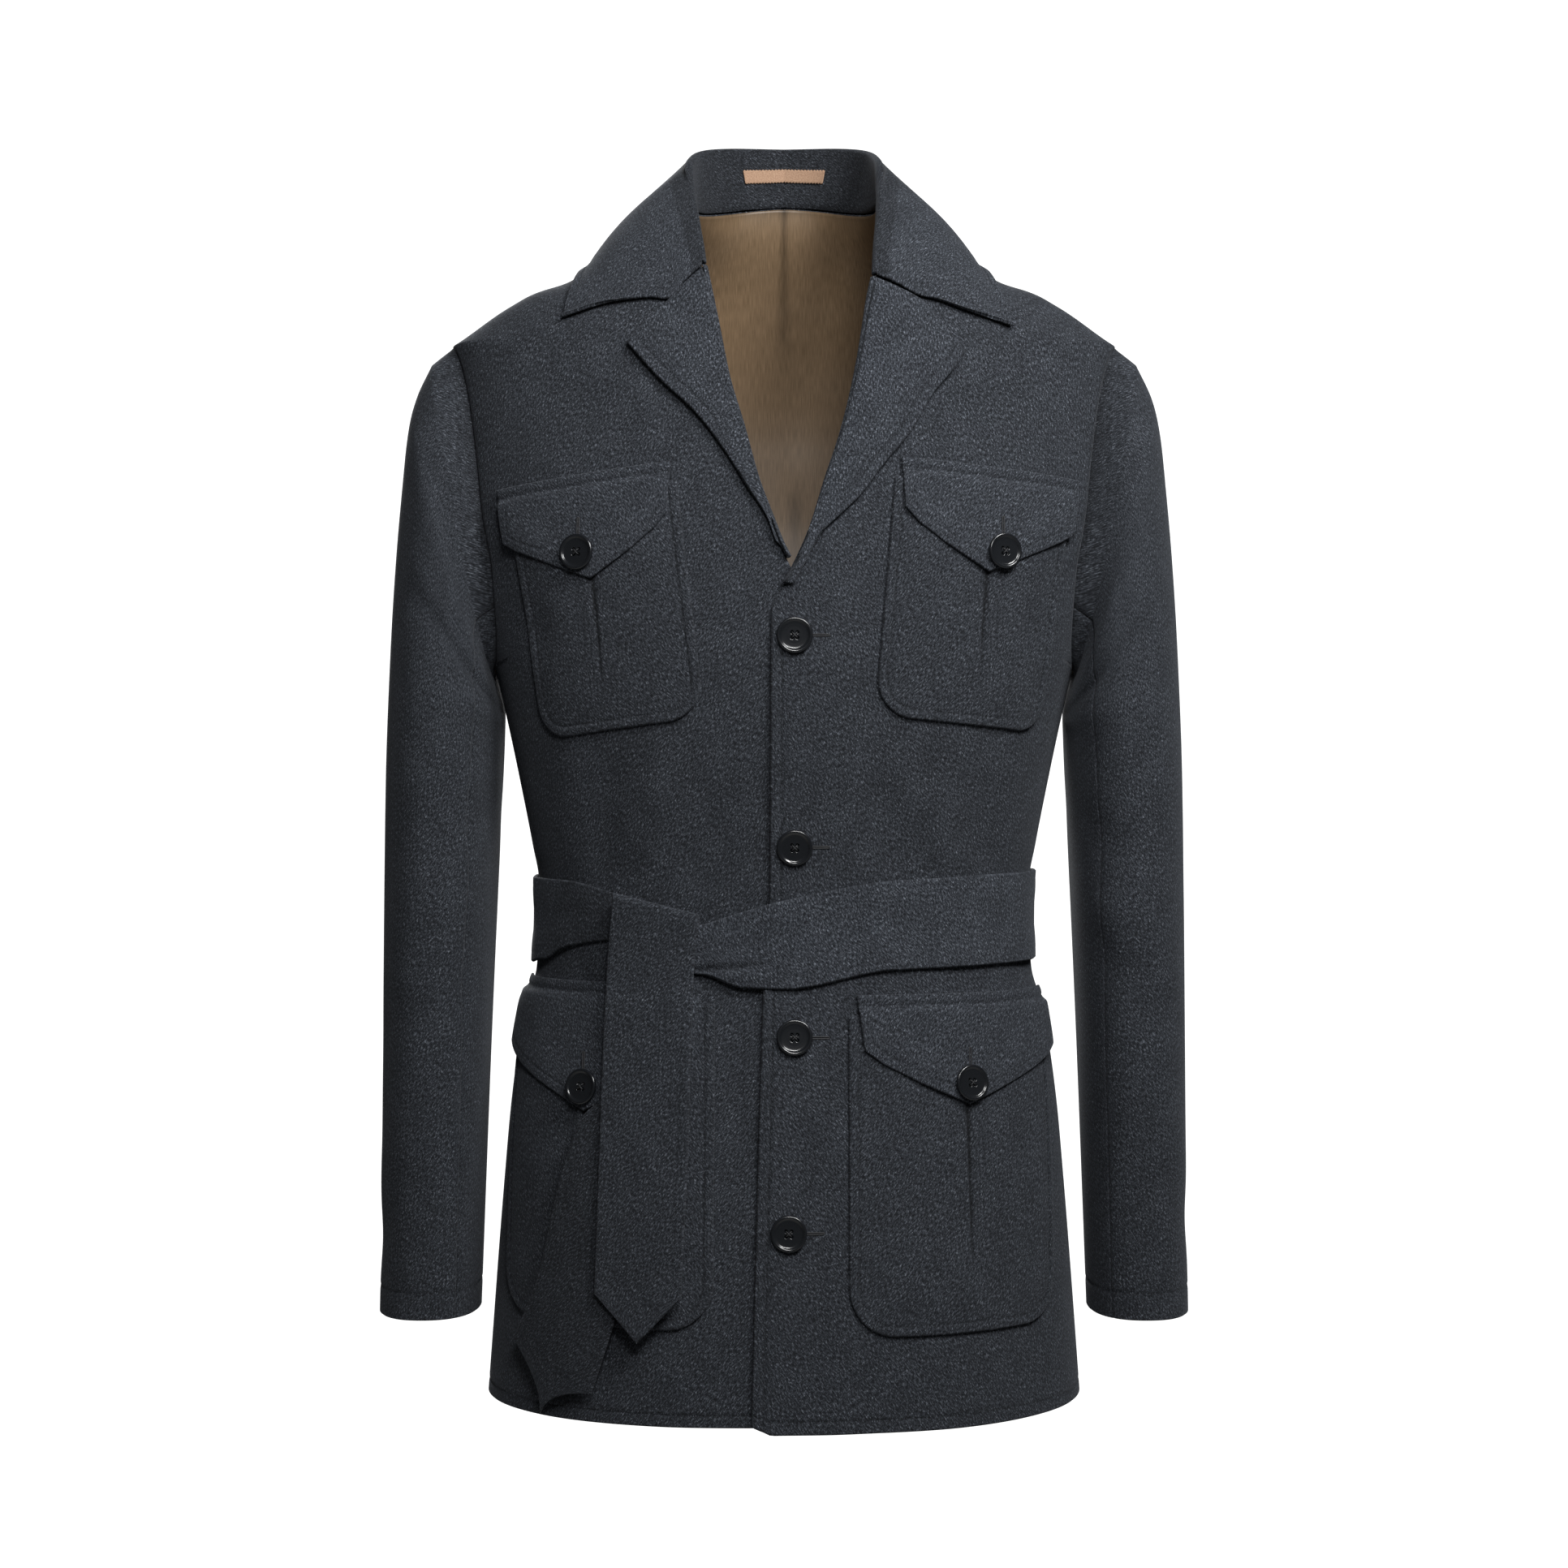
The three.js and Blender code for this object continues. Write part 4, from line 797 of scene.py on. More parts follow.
def wool_flannel():
    """Charcoal wool flannel, woven as a twill from mixed dark and light fibres, then brushed."""
    material, tree, shader = new_material("wool flannel, twill woven and brushed", {
        "Roughness": 0.92,
        "Specular IOR Level": 0.18,
        # The brushed fibre ends catch a little light at the cloth's turned-away sides
        "Sheen Weight": 0.1,
        "Sheen Roughness": 0.55,
        "Sheen Tint": linear("#b9bfc9"),
    })
    # Fine slanting streaks of the twill, just under a millimetre apart
    streaks = thread_pattern(tree, -33, 0.0008, 0.0026, 0.6)
    # Single light and dark fibres, drawn coarser than real ones so that they show at all
    fibres = thread_pattern(tree, 40, 0.0006, 0.0016, 0.6)
    # Faint clouds, a centimetre or two wide, where the brushed nap lies differently
    clouds = thread_pattern(tree, 0, 0.016, 0.022, 0.5)
    mixed = add_node(tree, "ShaderNodeMath", {0: fibres, 1: 0.45}, operation="MULTIPLY")
    mixed = add_node(tree, "ShaderNodeMath", {0: streaks, 1: 0.6, 2: mixed}, operation="MULTIPLY_ADD")
    mixed = add_node(tree, "ShaderNodeMath", {0: clouds, 1: 0.07, 2: mixed}, operation="MULTIPLY_ADD")
    # The mixture of dyed fibres, from near black to light grey, that reads as charcoal from afar
    colour = add_node(tree, "ShaderNodeValToRGB", {"Fac": mixed})
    set_stops(colour.color_ramp, [
        (0.4, "#0c0d10"), (0.5, "#191b1f"), (0.58, "#2a2d32"), (0.67, "#484c53"), (0.77, "#7c828b"),
    ])
    tree.links.new(with_painted_shade(tree, colour).outputs[0], shader.inputs["Base Color"])
    # The low relief of the threads, under a third of a millimetre
    nap = add_node(tree, "ShaderNodeBump", {"Height": mixed, "Strength": 0.25, "Distance": 0.0003})
    tree.links.new(nap.outputs[0], shader.inputs["Normal"])
    return material


def satin_lining():
    """Brown viscose lining, woven in satin: smooth, with a soft shine along its folds."""
    material, tree, shader = new_material("viscose lining, satin woven", {
        "Roughness": 0.42,
        "Specular IOR Level": 0.4,
        "Anisotropic": 0.4,
    })
    # Long floats of the satin weave, which streak it faintly from top to bottom
    threads = thread_pattern(tree, 0, 0.0006, 0.012, 0.5)
    colour = add_node(tree, "ShaderNodeValToRGB", {"Fac": threads})
    set_stops(colour.color_ramp, [(0.3, "#66543f"), (0.7, "#806a52")])
    tree.links.new(with_painted_shade(tree, colour).outputs[0], shader.inputs["Base Color"])
    return material


def woven_tape():
    """Peach cotton tape, woven with fine ribs across it: dull, a little uneven in colour."""
    looks = {"Roughness": 0.85, "Specular IOR Level": 0.2}
    material, tree, shader = new_material("cotton tape, rib woven", looks)
    threads = thread_pattern(tree, 0, 0.0009, 0.0009, 0.6)
    colour = add_node(tree, "ShaderNodeValToRGB", {"Fac": threads})
    set_stops(colour.color_ramp, [(0.3, "#8a6d58"), (0.7, "#ab8d76")])
    tree.links.new(colour.outputs[0], shader.inputs["Base Color"])
    return material


def black_resin():
    """Black polyester resin, turned and polished: it mirrors the lamps on rim and dish."""
    looks = {"Base Color": linear("#15171a"), "Roughness": 0.19, "IOR": 1.54}
    return new_material("polyester resin, turned and polished", looks)[0]


def sewing_thread():
    """Dark grey polyester sewing thread, twisted: dull, with hardly any shine."""
    looks = {"Base Color": linear("#1b1c1f"), "Roughness": 0.6}
    return new_material("polyester thread, twisted", looks)[0]


FLANNEL = wool_flannel()
LINING = satin_lining()
TAPE = woven_tape()
RESIN = black_resin()
THREAD = sewing_thread()


# Fronts

# Distances of the mesh's first lines from a front's edge and from the hem, close together at the stitches
FINE_EDGE = [0, 1.2, 3, 5, 6.2, 6.7, 7, 7.3, 7.8, 9, 11, 14]
HEM_MARKS = [0, 1.2, 3, 5.5, 7.1, 7.6, 8, 8.4, 9, 10.5, 13]


def armhole(turn, half):
    """A point of the armhole's edge: turn 0 is at the shoulder, a half turn under the arm."""
    bulge = np.abs(np.sin(turn)) ** ARMHOLE_ROUND
    z = mix(SHOULDER_Z, ARMPIT_Z, (1 - np.cos(turn)) / 2)
    angle = np.where(half == "front", -ARMHOLE_FRONT, ARMHOLE_BACK) * bulge
    return angle, z


def seam_turn(z):
    """Half of the seam's gap as an angle round the body."""
    return SEAM_GAP / 2 / front_depth_at(z)


def spaced_across(angle_of, z_of, width_marks, cells):
    """Shares across each row, so that the first columns keep their distance from the inner edge."""
    shares = np.linspace(0, 1, 81)[None, :]
    points = body_point(angle_of(shares), z_of(shares))
    steps = np.linalg.norm(np.diff(points, axis=1), axis=-1)
    lengths = np.concatenate([np.zeros((len(points), 1)), np.cumsum(steps, axis=1)], axis=1)
    wanted = []
    for length in lengths:
        first = min(width_marks[-1], length[-1] * 0.4)
        near = np.array(width_marks) * first / width_marks[-1]
        far = np.linspace(first, length[-1], cells + 1)[1:]
        wanted.append(np.interp(np.concatenate([near, far]), length, shares[0]))
    offsets = [np.interp(row, shares[0], length) for row, length in zip(wanted, lengths)]
    return np.array(wanted), np.array(offsets), lengths[:, -1:]


def front_rows(side):
    """Row numbers of a front, and for each the inner end's height and the outer end's angle and height."""
    hem_rise = FRONT_EDGE[side]["z"][0] - HEM_Z
    waist = LEVELS.index(WAIST_Z)
    count = len(LEVELS)
    levels = np.array(LEVELS, float)
    extra = (BREAK_Z - ARMPIT_Z) * np.maximum(np.arange(count) - waist, 0) / (count - 1 - waist)
    extra[0] += hem_rise
    seam_z = LAPEL_TOP[side]["z"][0]
    inner_z = np.concatenate([
        levels + extra,
        np.linspace(BREAK_Z, seam_z, ARMHOLE_ROWS - NECK_ROWS + 1)[1:],
        np.linspace(seam_z, 0, NECK_ROWS + 1)[1:],
    ])
    numbers = np.arange(len(inner_z), dtype=float)
    first_gap = levels[1] - levels[0]
    rows = [height / first_gap for height in HEM_MARKS]
    rows += list(refined([HEM_MARKS[-1] / first_gap, 1], PANEL_STEP / first_gap))[1:]
    for i in range(1, len(numbers) - 1):
        gap = max(abs(inner_z[i + 1] - inner_z[i]), 0 if i < count - 1 else 24)
        rows += list(np.linspace(i, i + 1, math.ceil(gap / PANEL_STEP) + 1))[1:]
    rows = np.array(rows)
    above = np.clip((rows - (count - 1)) / ARMHOLE_ROWS, 0, 1)
    armhole_angle, armhole_z = armhole(math.pi * (1 - above), "front")
    low = rows <= count - 1
    outer_angle = np.where(low, 0, armhole_angle)
    outer_z = np.where(low, np.interp(rows, numbers[:count], levels), armhole_z)
    return rows, np.interp(rows, numbers, inner_z), outer_angle, outer_z


HEM_CORNER = 5
HEM_CORNER_SHARE = 0.035
FACING_WIDTH = 78
EDGE_RAISED = {"left": 1.1, "right": 0.0}


def front_panel(side):
    rows, inner_z, outer_angle, outer_z = front_rows(side)
    edge_x = curve(FRONT_EDGE[side]["z"], FRONT_EDGE[side]["x"])
    inner_angle = front_angle(edge_x(inner_z), inner_z)
    inner_z, inner_angle = inner_z[:, None], inner_angle[:, None]
    outer_z, outer_angle = outer_z[:, None], outer_angle[:, None]
    shares, offset, width = spaced_across(
        lambda u: mix(inner_angle, outer_angle, u),
        lambda u: mix(inner_z, outer_z, u),
        FINE_EDGE,
        72,
    )
    z = mix(inner_z, outer_z, shares)
    angle = np.minimum(mix(inner_angle, outer_angle, shares), -seam_turn(z))
    if side == "left":
        corner = np.clip(1 - rows, 0, 1)[:, None] * np.clip(1 - shares / HEM_CORNER_SHARE, 0, 1)
        z = z + HEM_CORNER * corner
    hem_height = np.minimum(rows, 1)[:, None] * (LEVELS[1] - LEVELS[0])
    below_break = 1 - smooth(BREAK_Z - 14, BREAK_Z - 4, z)
    edge_groove = bell(offset - EDGE_STITCH, GROOVE_WIDTH) * below_break
    hem_groove = bell(hem_height - HEM_STITCH, GROOVE_WIDTH)
    seam_dip = bell(width - offset, 3.0)
    relief = 0.35 * smooth(0, 2.5, offset) * (1 - smooth(4.5, 7, offset)) * below_break
    relief += EDGE_RAISED[side] * (1 - smooth(4, 26, offset)) * below_break
    relief -= GROOVE_DEPTH * np.maximum(edge_groove, hem_groove) + 0.45 * seam_dip
    darker = GROOVE_SHADE * np.maximum(edge_groove, hem_groove) + SEAM_SHADE * seam_dip
    outer = on_front_angle(side, angle, z, relief)
    inner = on_front_angle(side, angle, z, relief * 0.6 - CLOTH)
    lined = offset[:-1, :-1] > FACING_WIDTH
    return flannel_piece(f"front_{side}", outer, inner, darker, lined, ("last", "far"))


# Back and its lining

BACK_ARMPIT_AT = 0.56
BACK_BEND_FROM = 0.43
BACK_BEND = 1.3
BACK_COLUMNS = 22
BACK_GIRTH = 500
BACK_NECK_FROM = 7 / BACK_COLUMNS
BACK_NECK_TO = 15 / BACK_COLUMNS
LINING_TOP = 0.9985


def back_side(v):
    low_z = mix(HEM_Z, ARMPIT_Z, v / BACK_ARMPIT_AT)
    turn = math.pi * (1 - np.clip((v - BACK_ARMPIT_AT) / (1 - BACK_ARMPIT_AT), 0, 1))
    angle, z = armhole(turn, "back")
    low = v <= BACK_ARMPIT_AT
    return np.where(low, 0, angle), np.where(low, low_z, z)


def back_top(u):
    turn = math.pi * (u - BACK_NECK_FROM) / (BACK_NECK_TO - BACK_NECK_FROM)
    angle = np.clip(turn, 0, math.pi)
    left = mix(SHOULDER_Z, 0, u / BACK_NECK_FROM)
    right = mix(SHOULDER_Z, 0, (1 - u) / (1 - BACK_NECK_TO))
    neck = BACK_NECK_Z * np.sin(angle) ** 2
    z = np.where(u < BACK_NECK_FROM, left, np.where(u > BACK_NECK_TO, right, neck))
    return angle, z


def back_patch(u, v):
    near_angle, near_z = back_side(v)
    top_angle, top_z = back_top(u)
    bend = (np.maximum(v - BACK_BEND_FROM, 0) / (1 - BACK_BEND_FROM)) ** BACK_BEND
    angle = mix(math.pi * u, top_angle, bend) + (1 - 2 * u) * near_angle
    z = near_z + bend * (top_z - SHOULDER_Z)
    turn = seam_turn(z)
    return np.clip(angle, turn, math.pi - turn), z


def back_shares():
    """Shares up the back, close together at the hem's stitches and about a step apart above them."""
    span = ARMPIT_Z - HEM_Z
    heights = refined([HEM_MARKS[-1], *[z - HEM_Z for z in LEVELS[1:]]], PANEL_STEP + 0.4)
    low = [BACK_ARMPIT_AT * height / span for height in HEM_MARKS + list(heights)[1:]]
    return np.array(low + list(np.linspace(BACK_ARMPIT_AT, 1, 97))[1:])


def back_panel():
    v = back_shares()[:, None]
    u = np.linspace(0, 1, 7 * BACK_COLUMNS + 1)[None, :]
    angle, z = back_patch(u, v)
    hem_height = (v * (ARMPIT_Z - HEM_Z) / BACK_ARMPIT_AT) + 0 * u
    hem_groove = bell(hem_height - HEM_STITCH, GROOVE_WIDTH)
    side_dip = bell(np.minimum(u, 1 - u) * BACK_GIRTH, 3.0) + 0 * v
    relief = -GROOVE_DEPTH * hem_groove - 0.6 * side_dip
    outer = on_body(angle, z, relief)
    inner = on_body(angle, z, relief * 0.6 - CLOTH)
    darker = GROOVE_SHADE * hem_groove + SEAM_SHADE * side_dip
    return flannel_piece("back", outer, inner, darker, sewn=("last", "near", "far"))


LINING_SEAM = curve([-796, -210, -140, -60, 15], [10, 8, 4.6, 0.6, 0])
LINING_GATHERS = table("x length depth", [
    [-50, 60, 1.0], [-44, 95, 1.5], [-37, 70, 1.1], [-30, 45, 0.8],
    [28, 40, 0.7], [35, 75, 1.2], [42, 100, 1.5], [49, 60, 1.0],
])


def back_lining():
    first = LEVELS[1] - HEM_Z
    span = ARMPIT_Z - HEM_Z
    heights = refined([z - HEM_Z for z in LEVELS[1:]], 8)
    shares = [BACK_ARMPIT_AT * height / span for height in heights if height >= first]
    shares += list(np.linspace(BACK_ARMPIT_AT, LINING_TOP, 80))[1:]
    v = np.array(shares)[:, None]
    u = np.linspace(1 / BACK_COLUMNS, 1 - 1 / BACK_COLUMNS, 6 * (BACK_COLUMNS - 2) + 1)[None, :]
    angle, z = back_patch(u, v)
    x = body_point(angle, z)[..., 0]
    seam = bell(x - LINING_SEAM(z), 1.3)
    ridge = bell(x - LINING_SEAM(z) - 2.4, 2.2)
    relief = -0.9 * ridge + 0.5 * seam
    for gather_x, length, depth in zip(*LINING_GATHERS.values()):
        below = BACK_NECK_Z - z
        fade = smooth(-2, 10, below) * (1 - smooth(length * 0.4, length, below))
        relief -= depth * bell(x - gather_x - 0.06 * below, 2.6) * fade
    top_dip = bell(BACK_NECK_Z * np.sin(angle) ** 2 - z, 4) * (z > -30)
    to_side_edge = np.minimum(u - u[:, :1], u[:, -1:] - u)
    # Painted shade along the seam and in the dip at the top, and deep painted shade along the side edges by
    # the armholes
    shade = (1 - 0.45 * seam - 0.3 * top_dip) * (1 - 0.85 * (1 - smooth(0, 0.03, to_side_edge)))
    inner_face = on_body(angle, z, -CLOTH - SEAM_GAP - LINING_CLOTH + relief)
    outer_face = on_body(angle, z, -CLOTH - SEAM_GAP - 0.05 + 0 * relief)
    piece = cloth_shell("cloth_lining_back", inner_face, outer_face, [LINING])
    darken(piece, 1 - shade, shade.shape)
    return finish_piece(piece, "lining_satin", "lining_back")


# Lapels

# Painted light: the lapels, collar, flaps and belt, which lie over the fronts, are made a little lighter in
# colour
RAISED_PAINTED_LIGHT = 1.16

LAPEL_EDGE_COLUMNS = [11, 9, 7.8, 7.3, 7, 6.7, 6.2, 5, 3, 1.2, 0]


def lapel(side):
    fold, edge, top = LAPEL_FOLD[side], LAPEL_EDGE[side], LAPEL_TOP[side]
    fold_x = curve(fold["z"], fold["x"])
    v = np.linspace(0, 1, 84)[:, None]
    z = mix(fold["z"][0], top["z"][0], v)
    slope = fold_x(z + 1) - fold_x(z - 1)
    away_x = 2 / np.hypot(2, slope)
    away_z = -slope / np.hypot(2, slope)
    end_x, end_z = path(edge, ["x", "z"])(v)
    width = np.maximum(np.hypot(end_x - fold_x(z), end_z - z), 1)
    near = np.clip(1 - np.array(LAPEL_EDGE_COLUMNS)[None, :] / width, 0.55, 1)
    near = np.maximum(near, np.linspace(0.55, 1, len(LAPEL_EDGE_COLUMNS))[None, :] * (width < 24))
    far = np.linspace(0, 1, 25)[None, 1:-1] * near[:, :1]
    u = np.concatenate([far, near], axis=1)
    topped_x, topped_z = path(top, ["x", "z"])(u)
    bend = v**4
    flat_x = mix(fold_x(z), end_x, u) + bend * (topped_x - mix(top["x"][0], top["x"][-1], u))
    flat_z = mix(z, end_z, u) + bend * (topped_z - mix(top["z"][0], top["z"][-1], u))
    lift = LAPEL_LIFT - LAPEL_SINK * np.sin(math.pi * u) + LAPEL_CORNER_LIFT * u * v
    belly = 1.6 * np.sin(math.pi * u) * np.sin(math.pi * np.clip(v, 0, 1)) ** 1.2
    to_edge = (1 - u) * width
    groove = bell(to_edge - EDGE_STITCH, GROOVE_WIDTH) * smooth(20, 34, width)
    relief = belly + 0.3 * smooth(0, 2.5, to_edge) * (1 - smooth(4.5, 7, to_edge)) - GROOVE_DEPTH * groove
    turns = np.radians(np.linspace(-90, -270, 11))[None, :]

    def layer(half):
        radius = ROLL_RADIUS + half
        across = ROLL_RADIUS + LAPEL_SET_BACK + radius * np.cos(turns)
        out = ROLL_SHIFT + radius * np.sin(turns)
        rolled = on_front(side, fold_x(z) + away_x * across, z + away_z * across, out + 0 * z)
        flat = on_front(side, flat_x, flat_z, lift + relief + half)
        return np.concatenate([rolled, flat], axis=1)

    on_roll = np.ones((len(v), turns.shape[1]))
    # Painted light on the whole lapel, and painted shade in its groove of stitches
    shade = RAISED_PAINTED_LIGHT * np.concatenate([on_roll, 1 - GROOVE_SHADE * groove], axis=1)
    return flannel_piece(f"lapel_{side}", layer(CLOTH / 2), layer(-CLOTH / 2), 1 - shade)


# Collar

back_seam_at = curve([SHOULDER_STATION, 5, 6, 7, COLLAR_STATIONS], [0, 0.28, 0.53, 0.77, 1])
collar_curves = {
    side: {name: curve(rows["station"], rows[name]) for name in rows if name != "station"}
    for side, rows in COLLAR.items()
}
front_edge_x = {side: curve(rows["z"], rows["x"]) for side, rows in FRONT_EDGE.items()}


def bare_body(angle, z, out):
    angle, z = np.asarray(angle, float), np.asarray(z, float)
    return body_point(angle, z) + body_normal(angle, z) * np.asarray(out, float)[..., None]


def body_gap(points):
    """How far points stand off the body's smooth form, and the way out from it."""
    def fill(p):
        depth = np.where(p[..., 1] < 0, front_depth_at(p[..., 2]), back_depth_at(p[..., 2]))
        across = (np.abs(p[..., 0]) / half_width_at(p[..., 2])) ** SQUARENESS
        return (across + (np.abs(p[..., 1]) / depth) ** SQUARENESS) ** (1 / SQUARENESS) - 1

    step = 0.5
    slopes = [fill(points + step * way) - fill(points - step * way) for way in np.eye(3)]
    slope = np.stack(slopes, axis=-1) / (2 * step)
    steepness = np.linalg.norm(slope, axis=-1)
    return fill(points) / steepness, slope / steepness[..., None]


def clear_of_body(points, least):
    """Moves points of the leaf out where they would lie closer to the body than this."""
    for _ in range(4):
        gap, way = body_gap(points)
        points = points + way * np.maximum(least - gap, 0)[..., None]
    return points


def seam_of_collar(side, station):
    z = collar_curves[side]["seam_z"](station)
    if station <= SHOULDER_STATION:
        return float(front_angle(front_edge_x[side](z), z)), float(z)
    return math.pi / 2 * float(back_seam_at(station)), float(z)


def collar_frame(side, station):
    """Where the stand starts, where its roll turns, the ways up and out, and the leaf's edge at a station."""
    read = {name: float(line(station)) for name, line in collar_curves[side].items()}
    angle, z = seam_of_collar(side, station)
    seam = bare_body(angle, z, 0)
    normal = body_normal(np.float64(angle), np.float64(z))
    before = bare_body(*seam_of_collar(side, max(station - 0.05, 0)), 0)
    after = bare_body(*seam_of_collar(side, min(station + 0.05, COLLAR_STATIONS)), 0)
    along = unit(after - before)
    fold = np.array([read["fold_x"], read["fold_y"], read["fold_z"]])
    if station < 1:
        on_surface = bare_body(float(front_angle(fold[0], fold[2])), fold[2], 0)
        fold = mix(fold, on_surface, 1 - station)
    up = unit(fold - seam)
    out = unit(normal - up * normal.dot(up))
    into_neck = unit(np.cross(normal, along))
    if into_neck.dot(up) < 0:
        into_neck = -into_neck
    rise = STAND_RISE / max(up.dot(into_neck), STAND_LEAST_SLOPE)
    base = seam - out * COLLAR_CLOTH / 2 + up * rise
    turn = fold - up * (ROLL_RADIUS + COLLAR_CLOTH / 2) + out * ROLL_SHIFT
    edge = np.array([read["edge_x"], read["edge_y"], read["edge_z"]])
    return {"base": base, "turn": turn, "up": up, "out": out, "edge": edge}


def roll_points(frame_at, degrees, radius):
    t = np.radians(np.asarray(degrees, float))[:, None]
    return frame_at["turn"] - frame_at["out"] * radius * np.cos(t) + frame_at["up"] * radius * np.sin(t)


# Painted shade on the collar's stand, which lies in the shade of the neck
STAND_SHADE = 0.3
STAND_SHARES = np.linspace(0, 1, 9)[:-1]
ROLL_STEPS = np.linspace(0, 180, 13)
LEAF_SHARES = np.concatenate([
    np.linspace(0.035, 0.86, 26),
    1 - np.array([9, 7.8, 7.3, 7, 6.7, 6.2, 5, 3, 1.2, 0]) / 95,
])


def collar_section(side, station, first):
    """The middle of the collar's wall at a station, from the neck seam over the roll to the leaf's edge."""
    here = collar_frame(side, station)
    start = roll_points(here, [180], ROLL_RADIUS)[0]
    inner = roll_points(here, [0], ROLL_RADIUS)[0]
    u = LEAF_SHARES[:, None]
    bulge = LEAF_BULGE * np.sin(math.pi * u)
    leaf = mix(start, here["edge"], u) + here["out"] * bulge * (1 - smooth(4, 6, station))
    near = (1 - min(station / FRONT_BLEND, 1)) ** 2
    if near > 0:
        x, z, lift = path(COLLAR_FRONT[side], ["x", "z", "lift"])(LEAF_SHARES)
        shown = bare_body(front_angle(x, z), z, lift)
        first_start = roll_points(first, [180], ROLL_RADIUS)[0]
        straight = mix(first_start, first["edge"], u) + first["out"] * bulge
        leaf = leaf + (shown - straight) * near
    if station > 0:
        leaf = clear_of_body(leaf, COLLAR_CLOTH / 2 + LEAF_CLEAR)
    stand = mix(here["base"], inner, STAND_SHARES[:, None])
    return np.concatenate([stand, roll_points(here, ROLL_STEPS, ROLL_RADIUS), leaf])


def collar():
    marks = [0, 0.05, 0.12, 0.2, 0.24, 0.27, 0.3, 0.36, 0.45]
    stations = np.concatenate([marks, np.linspace(0.45, COLLAR_STATIONS, 78)[1:]])
    halves = {}
    for side in ("right", "left"):
        first = collar_frame(side, 0)
        halves[side] = np.array([collar_section(side, station, first) for station in stations])
        halves[side] = to_side(side, halves[side])
    middle = np.concatenate([halves["right"], halves["left"][:-1][::-1]])
    leaf_start = len(STAND_SHARES) + len(ROLL_STEPS)
    for end, following in ((0, 8), (-1, -9)):
        away = unit(middle[following, leaf_start] - middle[end, leaf_start])
        fade = np.linspace(1, 0, 6)
        for i in range(6):
            place = i if end == 0 else -1 - i
            middle[place] = middle[place] + away * COLLAR_END_SHIFT * fade[i]
    normals = grid_normals(middle)
    if normals[len(middle) // 2, -1, 1] < 0:
        normals = -normals
    to_edge = np.linalg.norm(middle - middle[:, -1:], axis=-1)
    to_front = np.minimum(
        np.linalg.norm(middle - middle[:1], axis=-1),
        np.linalg.norm(middle - middle[-1:], axis=-1),
    )
    leaf = np.arange(middle.shape[1])[None, :] > leaf_start + 2
    free = leaf * (np.linspace(0, 1, middle.shape[1])[None, :] > 0.5)
    groove = np.maximum(bell(to_edge - EDGE_STITCH, GROOVE_WIDTH), free * bell(to_front - EDGE_STITCH, 1.2))
    relief = -GROOVE_DEPTH * groove * leaf
    outer = middle + normals * (COLLAR_CLOTH / 2 + relief)[..., None]
    inner = middle - normals * COLLAR_CLOTH / 2
    # Painted shade in the grooves and on the stand, and painted light on the leaf
    darker = GROOVE_SHADE * groove * leaf + mix(STAND_SHADE, 1 - RAISED_PAINTED_LIGHT, leaf)
    return flannel_piece("collar", outer, inner, darker, sewn=("near",))


def inside_stand(side, station, height, away):
    """A point on the inside of the collar's stand, moved towards the neck."""
    here = collar_frame(side, station)
    inner = roll_points(here, [0], ROLL_RADIUS)[0]
    point = mix(here["base"], inner, height) - here["out"] * (COLLAR_CLOTH / 2 + away)
    return to_side(side, point)


RIB_PITCH = 1.1
PICOT_DEPTH = 0.018


def hanger_tape():
    stations = np.linspace(TAPE_FROM_STATION, COLLAR_STATIONS, 62)
    places = [("right", s) for s in stations] + [("left", s) for s in stations[:-1][::-1]]
    heights = np.linspace(TAPE_LOW, TAPE_HIGH, 9)
    along = np.arange(len(places)) * 0.47
    ribs = 0.16 * np.cos(2 * math.pi * along / RIB_PITCH)
    picot = PICOT_DEPTH * np.abs(np.sin(math.pi * along / (2 * RIB_PITCH)))

    def layer(away, ribbed):
        rows = []
        for k, height in enumerate(heights):
            reach = (-1 if k == 0 else 1) * (k in (0, len(heights) - 1))
            rows.append([
                inside_stand(side, s, height + reach * picot[i], away + ribbed * ribs[i])
                for i, (side, s) in enumerate(places)
            ])
        return np.array(rows)

    piece = cloth_shell("hanger_tape_grosgrain", layer(TAPE_GAP + TAPE_CLOTH, 1), layer(TAPE_GAP, 0), [TAPE])
    return finish_piece(piece, "woven_tape", "hanger_tape")


# Sleeves

sleeve_curves = {name: curve(SLEEVE["ring"], SLEEVE[name]) for name in SLEEVE if name != "ring"}


def rounded_power(value):
    return np.sign(value) * np.abs(value) ** SLEEVE_ROUND


def armhole_at(turn):
    front = np.sin(turn) >= 0
    front_spot, back_spot = armhole(turn, "front"), armhole(turn, "back")
    return np.where(front, front_spot[0], back_spot[0]), front_spot[1]


def sleeve_top(side, turn):
    """The armhole's edge moved off the panels by the seam's gap, and out under the arm."""
    angle, z = armhole_at(turn)
    real_angle = math.pi - angle if side == "right" else angle
    normal = body_normal(angle, z)
    point = body_point(angle, z)
    centre = body_point(np.float64(0), np.float64((SHOULDER_Z + ARMPIT_Z) / 2))
    along = unit(body_point(*armhole_at(turn + 0.02)) - body_point(*armhole_at(turn - 0.02)))
    away = unit(np.cross(normal, along))
    inwards = (away * (centre - point)).sum(axis=-1, keepdims=True) < 0
    away = np.where(inwards, -away, away)
    out = UNDERARM_OUT * smooth(0.2, 0.8, -np.cos(turn)) + drape(real_angle, z)
    rise = shoulder_rise(angle, z)[..., None] * np.array([0, 0, 1.0])
    return point + away * ARMHOLE_GAP + normal * out[..., None] + rise


